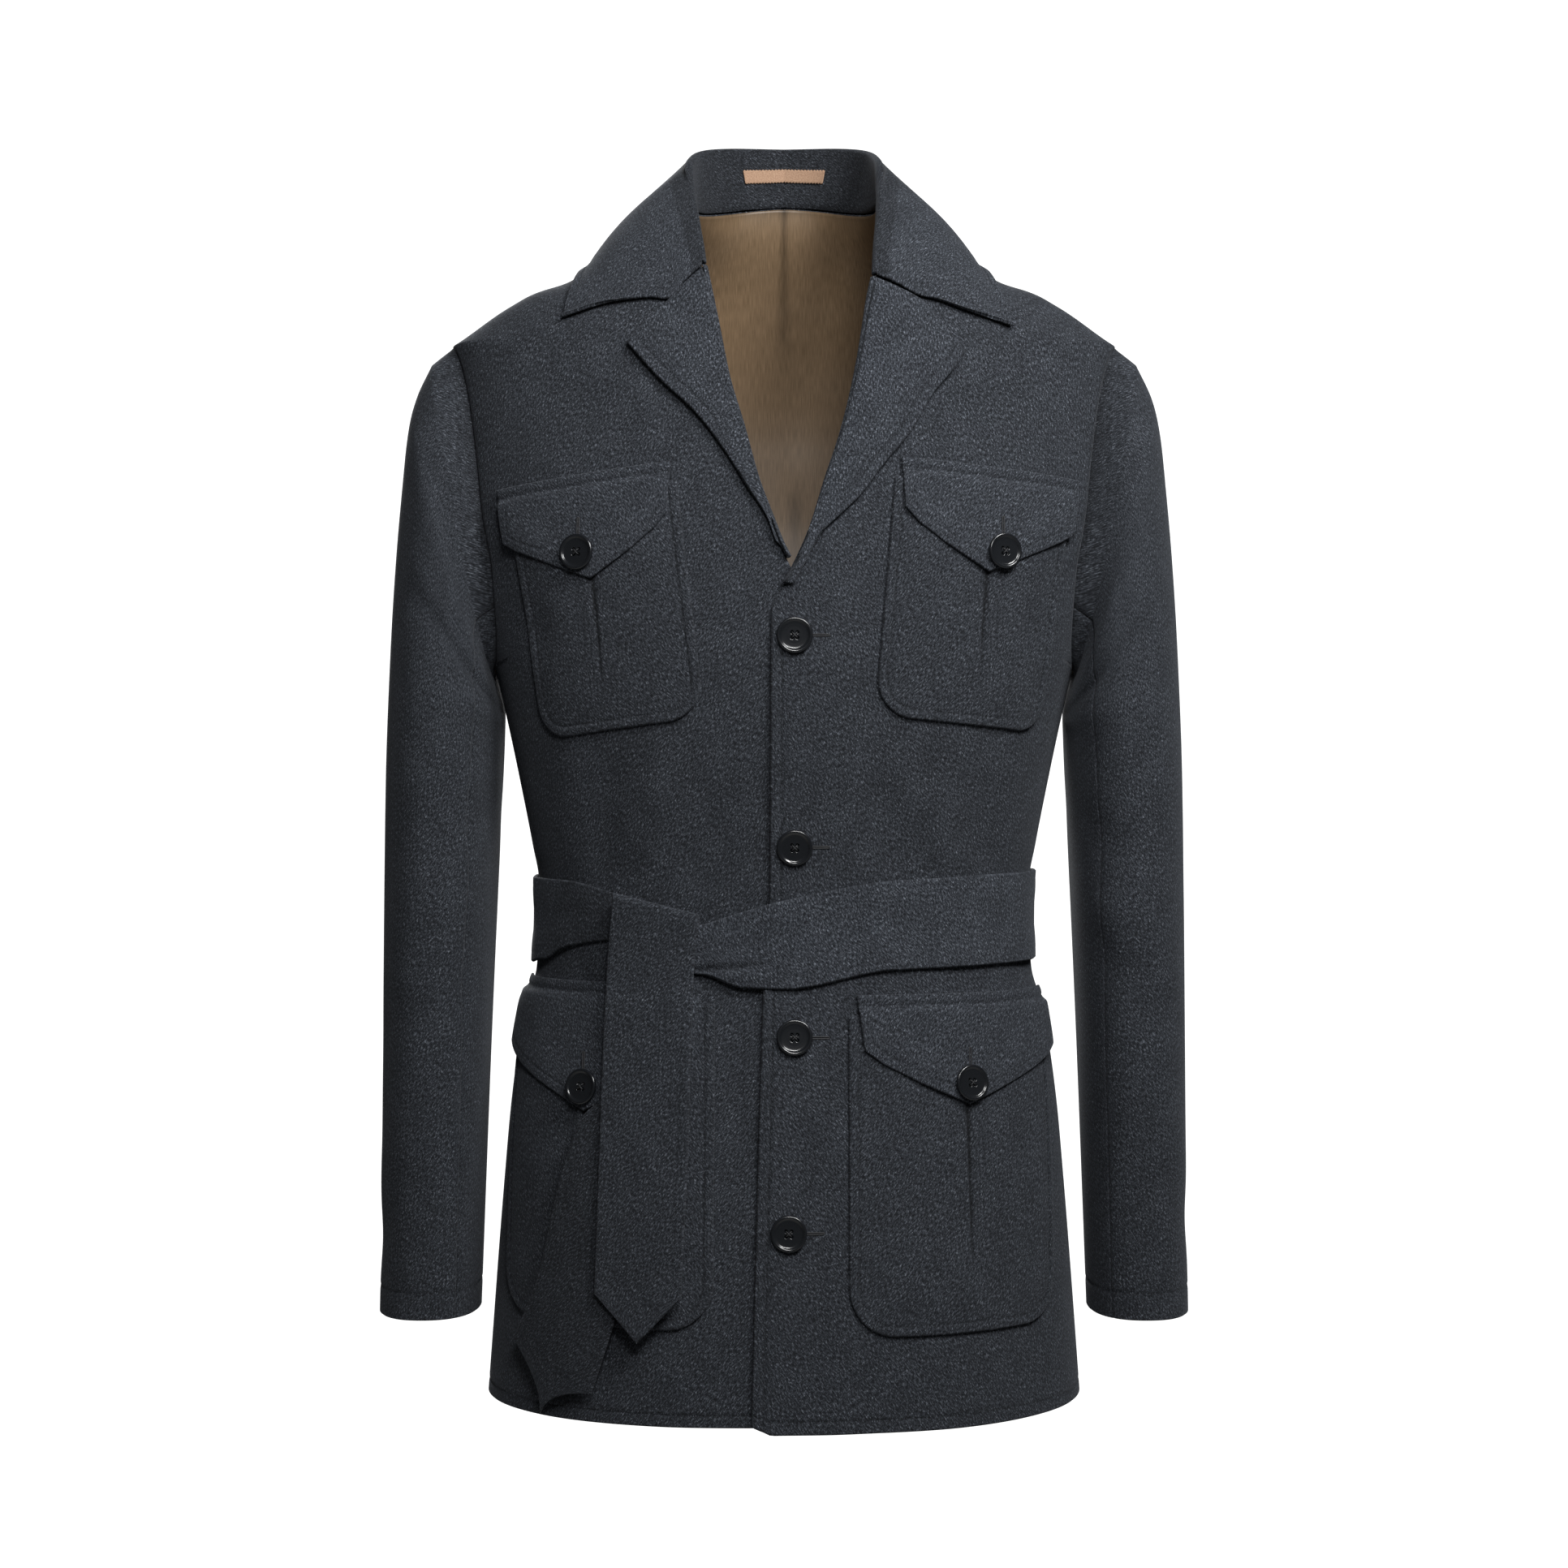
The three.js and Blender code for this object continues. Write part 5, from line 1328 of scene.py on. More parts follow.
def sleeve_point(side, ring, turn):
    """A point of the sleeve: turn 0 is its outer edge, a quarter turn its front, a half turn its inside."""
    ring, turn = np.broadcast_arrays(ring, turn)
    at = {name: line(np.maximum(ring, 1)) for name, line in sleeve_curves.items()}
    up = rounded_power(np.cos(turn))
    x = (at["outer_x"] + at["inner_x"]) / 2 + up * (at["outer_x"] - at["inner_x"]) / 2
    z = (at["outer_z"] + at["inner_z"]) / 2 + up * (at["outer_z"] - at["inner_z"]) / 2
    y = at["middle_y"] - rounded_power(np.sin(turn)) * at["half_depth"]
    points = np.stack([x, y, z], axis=-1)
    share = np.clip(ring, 0, 1)[..., None]
    return mix(sleeve_top(side, turn), points, share)


def sleeve_normal(side, ring, turn):
    step = 0.02
    last = SLEEVE["ring"][-1]
    around = sleeve_point(side, ring, turn + step) - sleeve_point(side, ring, turn - step)
    low, high = np.maximum(ring - step, 0), np.minimum(ring + step, last)
    down = sleeve_point(side, high, turn) - sleeve_point(side, low, turn)
    return unit(np.cross(around, down))


# As many degrees round the sleeve are taken to be as long as one ring
RING_DEGREES = 60


def sleeve_folds(side, ring, turn):
    folds = {
        name: values / RING_DEGREES if name.endswith("turn") else values
        for name, values in SLEEVE_FOLDS[side].items()
    }
    degrees = np.degrees(turn)
    total = sum(fold_heights(folds, ring, (degrees + shift) / RING_DEGREES) for shift in (-360, 0, 360))
    return total * smooth(0.6, 1.8, ring)


SLEEVE_RING_LENGTH = 91
CUFF_TURNING = 26
CUFF_MARKS = [22, 20, 18.8, 18, 17.2, 15, 11, 7, 4, 2, 0.8, 0]
HEAD_PUFF = 0.8


def sleeve_piece(side, name, start, end, columns):
    last = SLEEVE["ring"][-1]
    rings = list(np.linspace(0, 1, 7))
    gaps = np.hypot(np.diff(SLEEVE["outer_x"]), np.diff(SLEEVE["outer_z"]))
    for ring, gap in zip(SLEEVE["ring"][:-1], gaps):
        rings += list(np.linspace(ring, ring + 1, math.ceil(max(gap, 34) / 4.2) + 1))[1:]
    fine = last - np.array(CUFF_MARKS) / SLEEVE_RING_LENGTH
    rings = np.array([ring for ring in rings if ring < fine[0] - 0.02] + list(fine))[:, None]
    turns = np.radians(np.linspace(start, end, columns))[None, :]
    turns = np.clip(turns, turns[0, 0] + SLEEVE_SEAM_TURN, turns[0, -1] - SLEEVE_SEAM_TURN)
    rings, turns = np.broadcast_arrays(rings, turns)
    above_cuff = (last - rings) * SLEEVE_RING_LENGTH
    seam = bell(np.minimum(turns - turns[:, :1], turns[:, -1:] - turns) * 62, 2.4)
    groove = bell(above_cuff - CUFF_STITCH, GROOVE_WIDTH)
    head = bell(rings, 0.22)
    relief = sleeve_folds(side, rings, turns) - GROOVE_DEPTH * groove - 0.25 * seam - 0.35 * head
    points = sleeve_point(side, rings, turns)
    normals = sleeve_normal(side, rings, turns)
    normals = unit(mix(body_normal(*armhole_at(turns)), normals, smooth(0, 0.6, rings)[..., None]))
    puff = smooth(0, 1, rings) * (1 - smooth(1.5, 4.6, rings)) * smooth(-0.2, 0.7, np.cos(turns))
    relief = relief + HEAD_PUFF * puff
    outer = to_side(side, points + normals * relief[..., None])
    inner = to_side(side, points + normals * (relief - CLOTH)[..., None])
    lined = above_cuff[:-1, :-1] > CUFF_TURNING
    # Painted shade in the cuff's groove of stitches, along the seams and round the head at the armhole seam
    darker = GROOVE_SHADE * groove + 0.15 * seam + 0.4 * head
    return flannel_piece(name, outer, inner, darker, lined, ("first", "near", "far"), -1)


# Pockets and flaps

SLIT_WIDTH = 1.5
SLIT_DEPTH = 1.15
SLIT_SHADE = 0.75
POCKET_BAND = 6.0
BAND_MARKS = [0, 1.2, 3, 4.7, 5.5, 6, 6.5, 7.3, 9, 12]


def pocket_sizes(name):
    return dict(zip(POCKET_COLUMNS, POCKETS[name]))


def pocket_place(name):
    """A function that places a point of a pocket, by its distance across and down, on the front."""
    sizes = pocket_sizes(name)
    side = name.split("_")[1]
    start = length_at(np.float64(sizes["top_x"]), np.float64(sizes["top_z"]))
    tilt = math.radians(sizes["tilt"])

    def place(across, down, out):
        length = start + across * math.cos(tilt) - down * math.sin(tilt)
        z = sizes["top_z"] - across * math.sin(tilt) - down * math.cos(tilt)
        return on_front_angle(side, angle_along(length, z), z, out)

    return place


def slit_marks(slit_at, first, last, step):
    """Columns between two places that are close together round the slit."""
    near = slit_at + np.array([-7, -4.5, -2.8, -1.5, -0.7, 0, 0.7, 1.5, 2.8, 4.5, 7])
    before = refined([first, near[0]], step)[:-1]
    after = refined([near[-1], last], step)[1:]
    return np.concatenate([before, near, after])


def pocket_patch(name):
    sizes = pocket_sizes(name)
    place = pocket_place(name)
    left, right, bottom = sizes["patch_from"], sizes["patch_to"], sizes["patch_depth"]
    radius = sizes["corner_radius"]
    slit_at = sizes["tip_at"] * sizes["flap_width"]
    slit_end = sizes["tip_depth"] + sizes["slit"]
    marks = np.array(BAND_MARKS)
    inside = slit_marks(slit_at, left + marks[-1], right - marks[-1], SMALL_STEP)
    across = np.concatenate([left + marks, inside[1:-1], right - marks[::-1]])[None, :]
    down = refined([PATCH_TOP, bottom - marks[-1]], SMALL_STEP)
    down = np.concatenate([down, bottom - marks[::-1][1:]])[:, None]
    across, down = np.broadcast_arrays(across, down)
    from_side = np.minimum(across - left, right - across)
    from_bottom = bottom - down
    inset = np.minimum(from_side, from_bottom)
    corner_x, corner_y = radius - from_side, radius - from_bottom
    in_corner = (corner_x > 0) & (corner_y > 0)
    squeeze = np.maximum(corner_x, corner_y) / np.maximum(np.hypot(corner_x, corner_y), 1e-6)
    side_way = np.where(across - left < right - across, 1, -1)
    placed_across = np.where(in_corner, across + side_way * corner_x * (1 - squeeze), across)
    placed_down = np.where(in_corner, down - corner_y * (1 - squeeze), down)
    band = smooth(0, 2.2, inset) * (1 - smooth(4.6, 6.6, inset))
    groove = bell(inset - POCKET_BAND, 0.8)
    narrow = SLIT_WIDTH * (1.25 - 0.85 * smooth(sizes["tip_depth"] - 10, slit_end, down))
    open_share = 1 - smooth(slit_end - 5, slit_end + 1, down)
    slit = bell(across - slit_at - 0.02 * (down - sizes["tip_depth"]), narrow) * open_share
    lip = bell(across - slit_at - 4.2, 2.2) * open_share
    soft = 0.9 * np.sin(math.pi * np.clip(inset / 60, 0, 1)) + 0.3 * np.sin(across / 21 + down / 33)
    relief = 0.45 * band - 0.45 * groove - SLIT_DEPTH * slit + 0.5 * lip + soft * smooth(6, 20, inset)
    outer = place(placed_across, placed_down, PATCH_GAP + POCKET_CLOTH + relief)
    inner = place(placed_across, placed_down, PATCH_GAP + 0 * relief)
    return flannel_piece(f"pocket_{name}", outer, inner, GROOVE_SHADE * groove + SLIT_SHADE * slit)


def flap_depth(sizes, share):
    """Depth of the flap below its top edge, by the share of its width."""
    corner, tip, tip_at = sizes["corner_depth"], sizes["tip_depth"], sizes["tip_at"]
    shares = [0, FLAP_CUT, tip_at, 1 - FLAP_CUT, 1]
    return np.interp(share, shares, [corner - FLAP_CUT_INNER, corner, tip, corner, corner - FLAP_CUT_OUTER])


FLAP_OVER_PATCH = PATCH_GAP + POCKET_CLOTH + FLAP_CLEAR
FLAP_EDGE_MARKS = [0, 1.2, 3, 5, 6.2, 6.7, 7.0, 7.3, 7.8, 9, 11]


def pocket_flap(name):
    sizes = pocket_sizes(name)
    place = pocket_place(name)
    width = sizes["flap_width"]
    marks = np.array(FLAP_EDGE_MARKS)
    tip = sizes["tip_at"] * width
    middle = refined([marks[-1], tip, width - marks[-1]], SMALL_STEP)
    share = np.concatenate([marks, middle[1:-1], width - marks[::-1]])[None, :] / width
    depth = flap_depth(sizes, share)
    band = [0, 1.2, 3, 5, 6.2, FLAP_BAND, 7.8, 8.9, 10.1, FLAP_STEP]
    count = math.ceil((sizes["tip_depth"] - FLAP_STEP - marks[-1]) / SMALL_STEP)
    rows = [np.full(share.shape, value) for value in band]
    rows += [mix(FLAP_STEP, depth - marks[-1], t) for t in np.linspace(0, 1, count)[1:]]
    rows += [depth - mark for mark in marks[::-1][1:]]
    down = np.concatenate(rows)
    share = share + 0 * down
    lean = down / sizes["corner_depth"]
    inner_lean = FLAP_LEAN_INNER * lean * np.maximum(1 - share / 0.26, 0)
    outer_lean = FLAP_LEAN_OUTER * lean * np.maximum((share - 0.7) / 0.3, 0)
    lift = mix(PATCH_GAP, FLAP_OVER_PATCH, smooth(FLAP_BAND, FLAP_STEP, down))
    lift = lift + FLAP_EDGE_LIFT * smooth(FLAP_STEP, depth, down)
    slope = np.gradient(depth[0], share[0] * width)[None, :]
    to_edge = np.minimum((depth - down) / np.sqrt(1 + slope**2), np.minimum(share, 1 - share) * width)
    below = smooth(FLAP_STEP, FLAP_STEP + 6, down)
    groove = bell(to_edge - 6.5, 0.8) * below
    band_groove = bell(down - FLAP_BAND + 0.8, 0.9)
    padded = 0.5 * smooth(0, 6, to_edge) * (1 - smooth(7, 26, to_edge)) * below
    relief = padded - 0.4 * groove - 0.3 * band_groove
    relief = relief + 0.4 * smooth(0, 2.5, down) * (1 - smooth(4.5, 6.5, down))
    outer = place(share * width + inner_lean - outer_lean, down, lift + POCKET_CLOTH + relief)
    inner = place(share * width + inner_lean - outer_lean, down, lift)
    # Painted shade in the grooves, and painted light on the whole flap
    darker = 0.22 * groove + GROOVE_SHADE * band_groove + 1 - RAISED_PAINTED_LIGHT
    return flannel_piece(f"flap_{name}", outer, inner, darker)


# Buttons: radius and height of the outline of a button's half, from the middle of its back to its dish

BUTTON_OUTLINE = table("radius height", [
    [0, 0], [5, 0], [9.6, 0], [10.4, 0.1], [10.95, 0.5], [11.35, 1.05], [11.5, 1.6], [11.45, 2.2],
    [11.25, 2.7], [10.9, 3.0], [10.4, 3.1], [9.9, 3.05], [9.5, 2.85], [9.1, 2.5], [8.7, 2.25],
    [8.1, 2.12], [7.0, 2.06], [5.8, 2.02],
])
BUTTON_SIDES = 56
HOLE_AT = 1.75
HOLE_RADIUS = 1.05


def button(node, seat, normal):
    """A four-hole button: a turned rim, and a dish whose fine grid is pressed in at the holes."""
    turns = np.linspace(0, 2 * math.pi, BUTTON_SIDES, endpoint=False)
    rings = []
    for radius, height in zip(*BUTTON_OUTLINE.values()):
        rings.append(np.stack([radius * np.cos(turns), radius * np.sin(turns), height + 0 * turns], axis=1))
    inner_radii = np.linspace(5.5, 0.18, 24)
    for radius in inner_radii:
        x, y = radius * np.cos(turns), radius * np.sin(turns)
        away = np.hypot(np.abs(x) - HOLE_AT, np.abs(y) - HOLE_AT)
        press = 1.3 * (1 - smooth(HOLE_RADIUS - 0.25, HOLE_RADIUS + 0.1, away))
        rings.append(np.stack([x, y, 2.0 - press], axis=1))
    points = np.concatenate(rings[1:] + [[[0, 0, 0], [0, 0, 2.0]]])
    count = len(rings) - 1
    i, j = np.meshgrid(np.arange(count - 1), np.arange(BUTTON_SIDES), indexing="ij")
    a = (i * BUTTON_SIDES + j).ravel()
    b = (i * BUTTON_SIDES + (j + 1) % BUTTON_SIDES).ravel()
    faces = np.stack([a, b, b + BUTTON_SIDES, a + BUTTON_SIDES], axis=1).tolist()
    back, front = len(points) - 2, len(points) - 1
    last = (count - 1) * BUTTON_SIDES
    for k in range(BUTTON_SIDES):
        after = (k + 1) % BUTTON_SIDES
        faces.append([back, after, k])
        faces.append([front, last + k, last + after])
    across = unit(np.cross([0, 0, 1.0], normal))
    over = np.cross(normal, across)
    sewn, sewn_faces = button_thread()
    cells = len(faces)
    faces += [[corner + len(points) for corner in cell] for cell in sewn_faces]
    is_thread = np.arange(len(faces)) >= cells
    points = np.concatenate([points, sewn])
    placed = seat + points[:, :1] * across + points[:, 1:2] * over + points[:, 2:] * normal
    piece = mesh_piece(f"resin_{node}", placed, faces, [RESIN, THREAD], is_thread)
    return finish_piece(piece, "button_black", node)


def tube(centre_line, radius, sides, closed=False):
    """Points and faces of a thread along a line of points."""
    before = np.roll(centre_line, 1, axis=0)
    after = np.roll(centre_line, -1, axis=0)
    if not closed:
        before[0], after[-1] = centre_line[0], centre_line[-1]
    along = unit(after - before)
    side = unit(np.cross(along, np.array([0.12, -1.0, 0.07])))
    over = np.cross(side, along)
    turns = np.linspace(0, 2 * math.pi, sides, endpoint=False)[None, :, None]
    points = centre_line[:, None] + radius * (np.cos(turns) * side[:, None] + np.sin(turns) * over[:, None])
    count = len(centre_line)
    i, j = np.meshgrid(np.arange(count if closed else count - 1), np.arange(sides), indexing="ij")
    a, b = i.ravel() * sides + j.ravel(), i.ravel() * sides + (j.ravel() + 1) % sides
    c, d = (b + sides) % (count * sides), (a + sides) % (count * sides)
    faces = np.stack([a, b, c, d], axis=1).tolist()
    if not closed:
        faces.append(list(range(sides))[::-1])
        faces.append(list(range((count - 1) * sides, count * sides)))
    return points.reshape(-1, 3), faces


THREAD_RADIUS = 0.42


def button_thread():
    """The cross of thread over the four holes, on the button's own axes."""
    points, faces = [], []
    for turn in (45, 135):
        t = np.linspace(-1, 1, 11)
        reach = t * HOLE_AT * math.sqrt(2)
        height = 2.0 + 0.75 * (1 - np.abs(t) ** 4) - 0.8 * (np.abs(t) > 0.99)
        way = np.array([math.cos(math.radians(turn)), math.sin(math.radians(turn))])
        line = np.stack([reach * way[0], reach * way[1], height], axis=1)
        ring, cells = tube(line, THREAD_RADIUS, 6)
        faces += [[corner + sum(map(len, points)) for corner in cell] for cell in cells]
        points.append(ring)
    return np.concatenate(points), faces


BUTTONHOLE_LENGTH = 22
BUTTONHOLE_HALF = 0.6
BUTTONHOLE_THREAD = 0.45
BUTTONHOLE_SUNK = 0.75


def buttonhole(name, side, x, z, way_x, way_z, out):
    """The sewn rim of a buttonhole, an oval of thread that starts under the button."""
    t = np.linspace(0, 2 * math.pi, 48, endpoint=False)
    along = np.clip(np.cos(t) * (BUTTONHOLE_LENGTH / 2 + 6), -BUTTONHOLE_LENGTH / 2, BUTTONHOLE_LENGTH / 2)
    along = along + BUTTONHOLE_LENGTH / 2
    across = BUTTONHOLE_HALF * np.sign(np.sin(t)) * np.abs(np.sin(t)) ** 0.5
    line = on_front(side, x + way_x * along + way_z * across, z + way_z * along + way_x * across, out + 0 * t)
    points, faces = tube(line, BUTTONHOLE_THREAD, 6, closed=True)
    piece = mesh_piece(name, points, faces, [THREAD], np.zeros(len(faces)))
    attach(piece, "root")


def buttons():
    for number, (x, z) in enumerate(FRONT_BUTTONS, 1):
        seat = on_front("left", x, z, BUTTON_SEAT)
        button(f"button_front_{number}", seat, front_normal("left", x, z))
        buttonhole(f"thread_buttonhole_{number}", "left", x, z, 1, 0, 0.2)
    for name in POCKETS:
        sizes = pocket_sizes(name)
        side = name.split("_")[1]
        out = FLAP_OVER_PATCH + POCKET_CLOTH + FLAP_EDGE_LIFT + BUTTON_SEAT
        x, z = sizes["button_x"], sizes["button_z"]
        button(f"button_{name}", on_front(side, x, z, out), front_normal(side, x, z))
        buttonhole(f"thread_buttonhole_{name}", side, x, z, 0, 1, out - BUTTONHOLE_SUNK)


# Belt

belt_top_at = curve(BELT["angle"], BELT["top"])
belt_bottom_at = curve(BELT["angle"], BELT["bottom"])
BELT_MARKS = [0, 1.2, 3, 4.6, 5.4, 6, 6.6, 7.4, 9, 12]
BELT_STITCH = 6.0
BELT_GROOVE = 0.08

# The crease just beside the knot, where the belt's lower edge is folded up into a lip
CREASE_FROM = (-56, -509)
CREASE_TO = (-14, -505.5)
CREASE_DEPTH = 2.1
LIP_HEIGHT = 1.3

# Painted shade on the belt's other end, on the wearer's right front, and painted light on the rest of the
# belt
BELT_END_SHADE_FROM = 205
BELT_END_PAINTED_SHADE = 0.25
BELT_PAINTED_LIGHT = 0.3

# Soft waves of the belt: where each lies round the body, how wide it is, and how far it stands out
BELT_WAVES = table("angle width height", [
    [-104, 5, 0.6], [-88, 7, 1.2], [-70, 6, 0.8], [-52, 9, 1.4], [-26, 10, 1.0], [8, 12, 1.4], [38, 12, 1.0],
    [66, 10, 1.4], [95, 13, 1.1], [124, 10, 1.5], [150, 10, 1.0], [176, 9, 1.2], [197, 6, 1.4], [210, 5, 1.6],
])


def belt_lift(x):
    """The belt climbs from the right front on to the left one that overlaps it."""
    return (CLOTH + LAP_GAP) * smooth(-52, -14, x) * (1 - smooth(24, 62, x))


def belt_waist():
    degrees = np.linspace(BELT["angle"][0], BELT["angle"][-1], 380)[None, :]
    width = belt_top_at(degrees) - belt_bottom_at(degrees)
    marks = np.array(BELT_MARKS)[:, None]
    middle = np.linspace(0, 1, 15)[1:-1, None]
    up = np.concatenate([
        marks + 0 * width,
        mix(marks[-1, 0], width - marks[-1, 0], middle),
        width - marks[::-1],
    ])
    z = belt_bottom_at(degrees) + up
    degrees = degrees + 0 * z
    angle = np.radians(degrees)
    x = body_point(angle, z)[..., 0]
    front = body_point(angle, z)[..., 1] < 0
    lift = np.where(front, belt_lift(x), 0)
    to_edge = np.minimum(up, width - up)
    groove = bell(to_edge - BELT_STITCH, 0.8)
    share = up / width
    wave = sum(
        height * bell(degrees - at + 6 * (share - 0.5), breadth)
        for at, breadth, height in zip(*BELT_WAVES.values())
    )
    puff = np.sin(math.pi * np.clip(to_edge / 22, 0, 1))
    run = (x - CREASE_FROM[0]) / (CREASE_TO[0] - CREASE_FROM[0])
    above = z - mix(CREASE_FROM[1], CREASE_TO[1], run)
    here = front * smooth(-0.35, -0.05, run) * (1 - smooth(0.8, 1.3, run))
    crease = bell(above, 1.7) * here
    lip = bell(above + 6, 4.5) * here
    relief = wave + 0.5 * puff + LIP_HEIGHT * lip - BELT_GROOVE * groove
    outer = on_body(angle, z, BELT_CLEAR + lift + BELT_CLOTH + relief - CREASE_DEPTH * crease)
    inner = on_body(angle, z, BELT_CLEAR + lift + wave - 0.5 * crease)
    # Painted light on the belt, turning into painted shade on its end on the wearer's right front
    turned = mix(-BELT_PAINTED_LIGHT, BELT_END_PAINTED_SHADE, smooth(BELT_END_SHADE_FROM, BELT_END_SHADE_FROM + 9, degrees))
    return flannel_piece("belt_waist", outer, inner, turned + 0.5 * crease)


def on_right_front(x, z, out):
    return on_front("right", -x, z, out)


TAIL_WIDTH = 54
TAIL_MARKS = np.array(BELT_MARKS[:-1]) / TAIL_WIDTH
TAIL_SHARES = np.concatenate([TAIL_MARKS, np.linspace(0.2, 0.8, 9), 1 - TAIL_MARKS[::-1]])[None, :]
LAST_HOOKED_ROW = 22
TIP_SHARES = [0.12, 0.3, 0.5, 0.62, 0.7, 0.76, 0.8, 0.84, 0.88, 0.94, 1]


def tail_relief(to_edge):
    groove = bell(to_edge - BELT_STITCH, 0.8)
    puff = np.sin(math.pi * np.clip(to_edge / BELT_STITCH, 0, 1))
    return 0.25 * puff - BELT_GROOVE * groove, 0.06 * groove


def belt_tail_front():
    left_at = curve(FRONT_TAIL["z"], FRONT_TAIL["left"])
    right_at = curve(FRONT_TAIL["z"], FRONT_TAIL["right"])
    fold_z, end_z = FRONT_TAIL["z"][0], FRONT_TAIL["z"][-1]
    bend = (FRONT_TAIL_LIFT - TAIL_HOOK_LIFT) / 2
    middle = (FRONT_TAIL_LIFT + TAIL_HOOK_LIFT) / 2
    u = TAIL_SHARES
    drops = np.concatenate([np.linspace(-TAIL_HOOK_DROP, 0, 6), np.zeros(14)])[:, None]
    turns = np.radians(np.concatenate([np.full(6, 180), np.linspace(180, 0, 15)[1:]]))[:, None]
    hanging = refined([-480, -507, -542, -610, end_z], 2.6)[:, None]
    tip = np.array(TIP_SHARES)[:, None] * FRONT_TAIL_TIP

    def spot(z, slope, out):
        x = mix(left_at(z), right_at(z), u)
        return on_right_front(x, z + slope * FRONT_TAIL_SLOPE * (0.5 - u), out)

    tip_slope = 2 * FRONT_TAIL_TIP / TAIL_WIDTH
    point = np.abs(2 * u - 1)
    above_tip = np.concatenate([
        np.full((len(drops), u.shape[1]), 99.0),
        (hanging - end_z + (1 - point) * FRONT_TAIL_TIP) / math.hypot(1, tip_slope),
        (FRONT_TAIL_TIP - tip) * (1 - point) / math.hypot(1, tip_slope),
    ])
    relief, darker = tail_relief(np.minimum(np.minimum(u, 1 - u) * TAIL_WIDTH, above_tip))
    shown = (np.arange(len(relief)) > LAST_HOOKED_ROW)[:, None]

    def layer(half, raised):
        z = fold_z - bend - BELT_CLOTH / 2 + drops + (bend + half) * np.sin(turns)
        hooked = spot(z, 1, middle + (bend + half) * np.cos(turns))
        low = spot(hanging + 0 * u, 1 - smooth(0, 60, fold_z - hanging), FRONT_TAIL_LIFT + half + 0 * u)
        ends = spot(end_z - tip * (1 - point), 0, FRONT_TAIL_LIFT + half + 0 * tip)
        return np.concatenate([hooked, low, ends]) + raised[..., None] * np.array([0, -1.0, 0])

    outer = layer(BELT_CLOTH / 2, relief * shown)
    return flannel_piece("belt_tail_front", outer, layer(-BELT_CLOTH / 2, 0 * relief), darker)


def belt_tail_under():
    last = len(UNDER_TAIL["left_x"]) - 1
    read = {name: curve(np.arange(last + 1), values) for name, values in UNDER_TAIL.items()}
    steps = np.linspace(0, last, 100)[:, None]
    u = TAIL_SHARES
    x = mix(read["left_x"](steps), read["right_x"](steps), u)
    z = mix(read["left_z"](steps), read["right_z"](steps), u)
    point = np.abs(2 * u - 1)
    tip = np.linspace(0, 1, 12)[1:, None]
    tip_x = mix(x[-1:], UNDER_TAIL_TIP_X, (1 - point) * tip)
    tip_z = mix(z[-1:], UNDER_TAIL_TIP_Z, (1 - point) * tip) - 0.5 * tip
    x = np.concatenate([x, tip_x])
    z = np.concatenate([z, tip_z])
    widths = np.linalg.norm(np.stack([x[:, -1] - x[:, 0], z[:, -1] - z[:, 0]]), axis=0)[:, None]
    side_gap = np.minimum(u, 1 - u) * widths
    from_tip = np.hypot(UNDER_TAIL_TIP_X - x, UNDER_TAIL_TIP_Z - z)
    fade = smooth(30, 44, from_tip)
    relief, darker = tail_relief(side_gap)
    outer = on_right_front(x, z, UNDER_TAIL_LIFT + BELT_CLOTH / 2 + relief * fade)
    inner = on_right_front(x, z, UNDER_TAIL_LIFT - BELT_CLOTH / 2 + 0 * relief)
    return flannel_piece("belt_tail_under", outer, inner, UNDER_TAIL_SHADE + darker * fade)


# Putting the jacket together

for side in ("left", "right"):
    front_panel(side)
back_panel()
back_lining()
for side in ("left", "right"):
    lapel(side)
collar()
hanger_tape()
for side in ("left", "right"):
    sleeve_piece(side, f"sleeve_{side}_top", BACK_SLEEVE_SEAM - 360, FRONT_SLEEVE_SEAM, 96)
    sleeve_piece(side, f"sleeve_{side}_under", FRONT_SLEEVE_SEAM, BACK_SLEEVE_SEAM, 42)
for pocket_name in POCKETS:
    pocket_patch(pocket_name)
    pocket_flap(pocket_name)
buttons()
belt_waist()
belt_tail_front()
belt_tail_under()

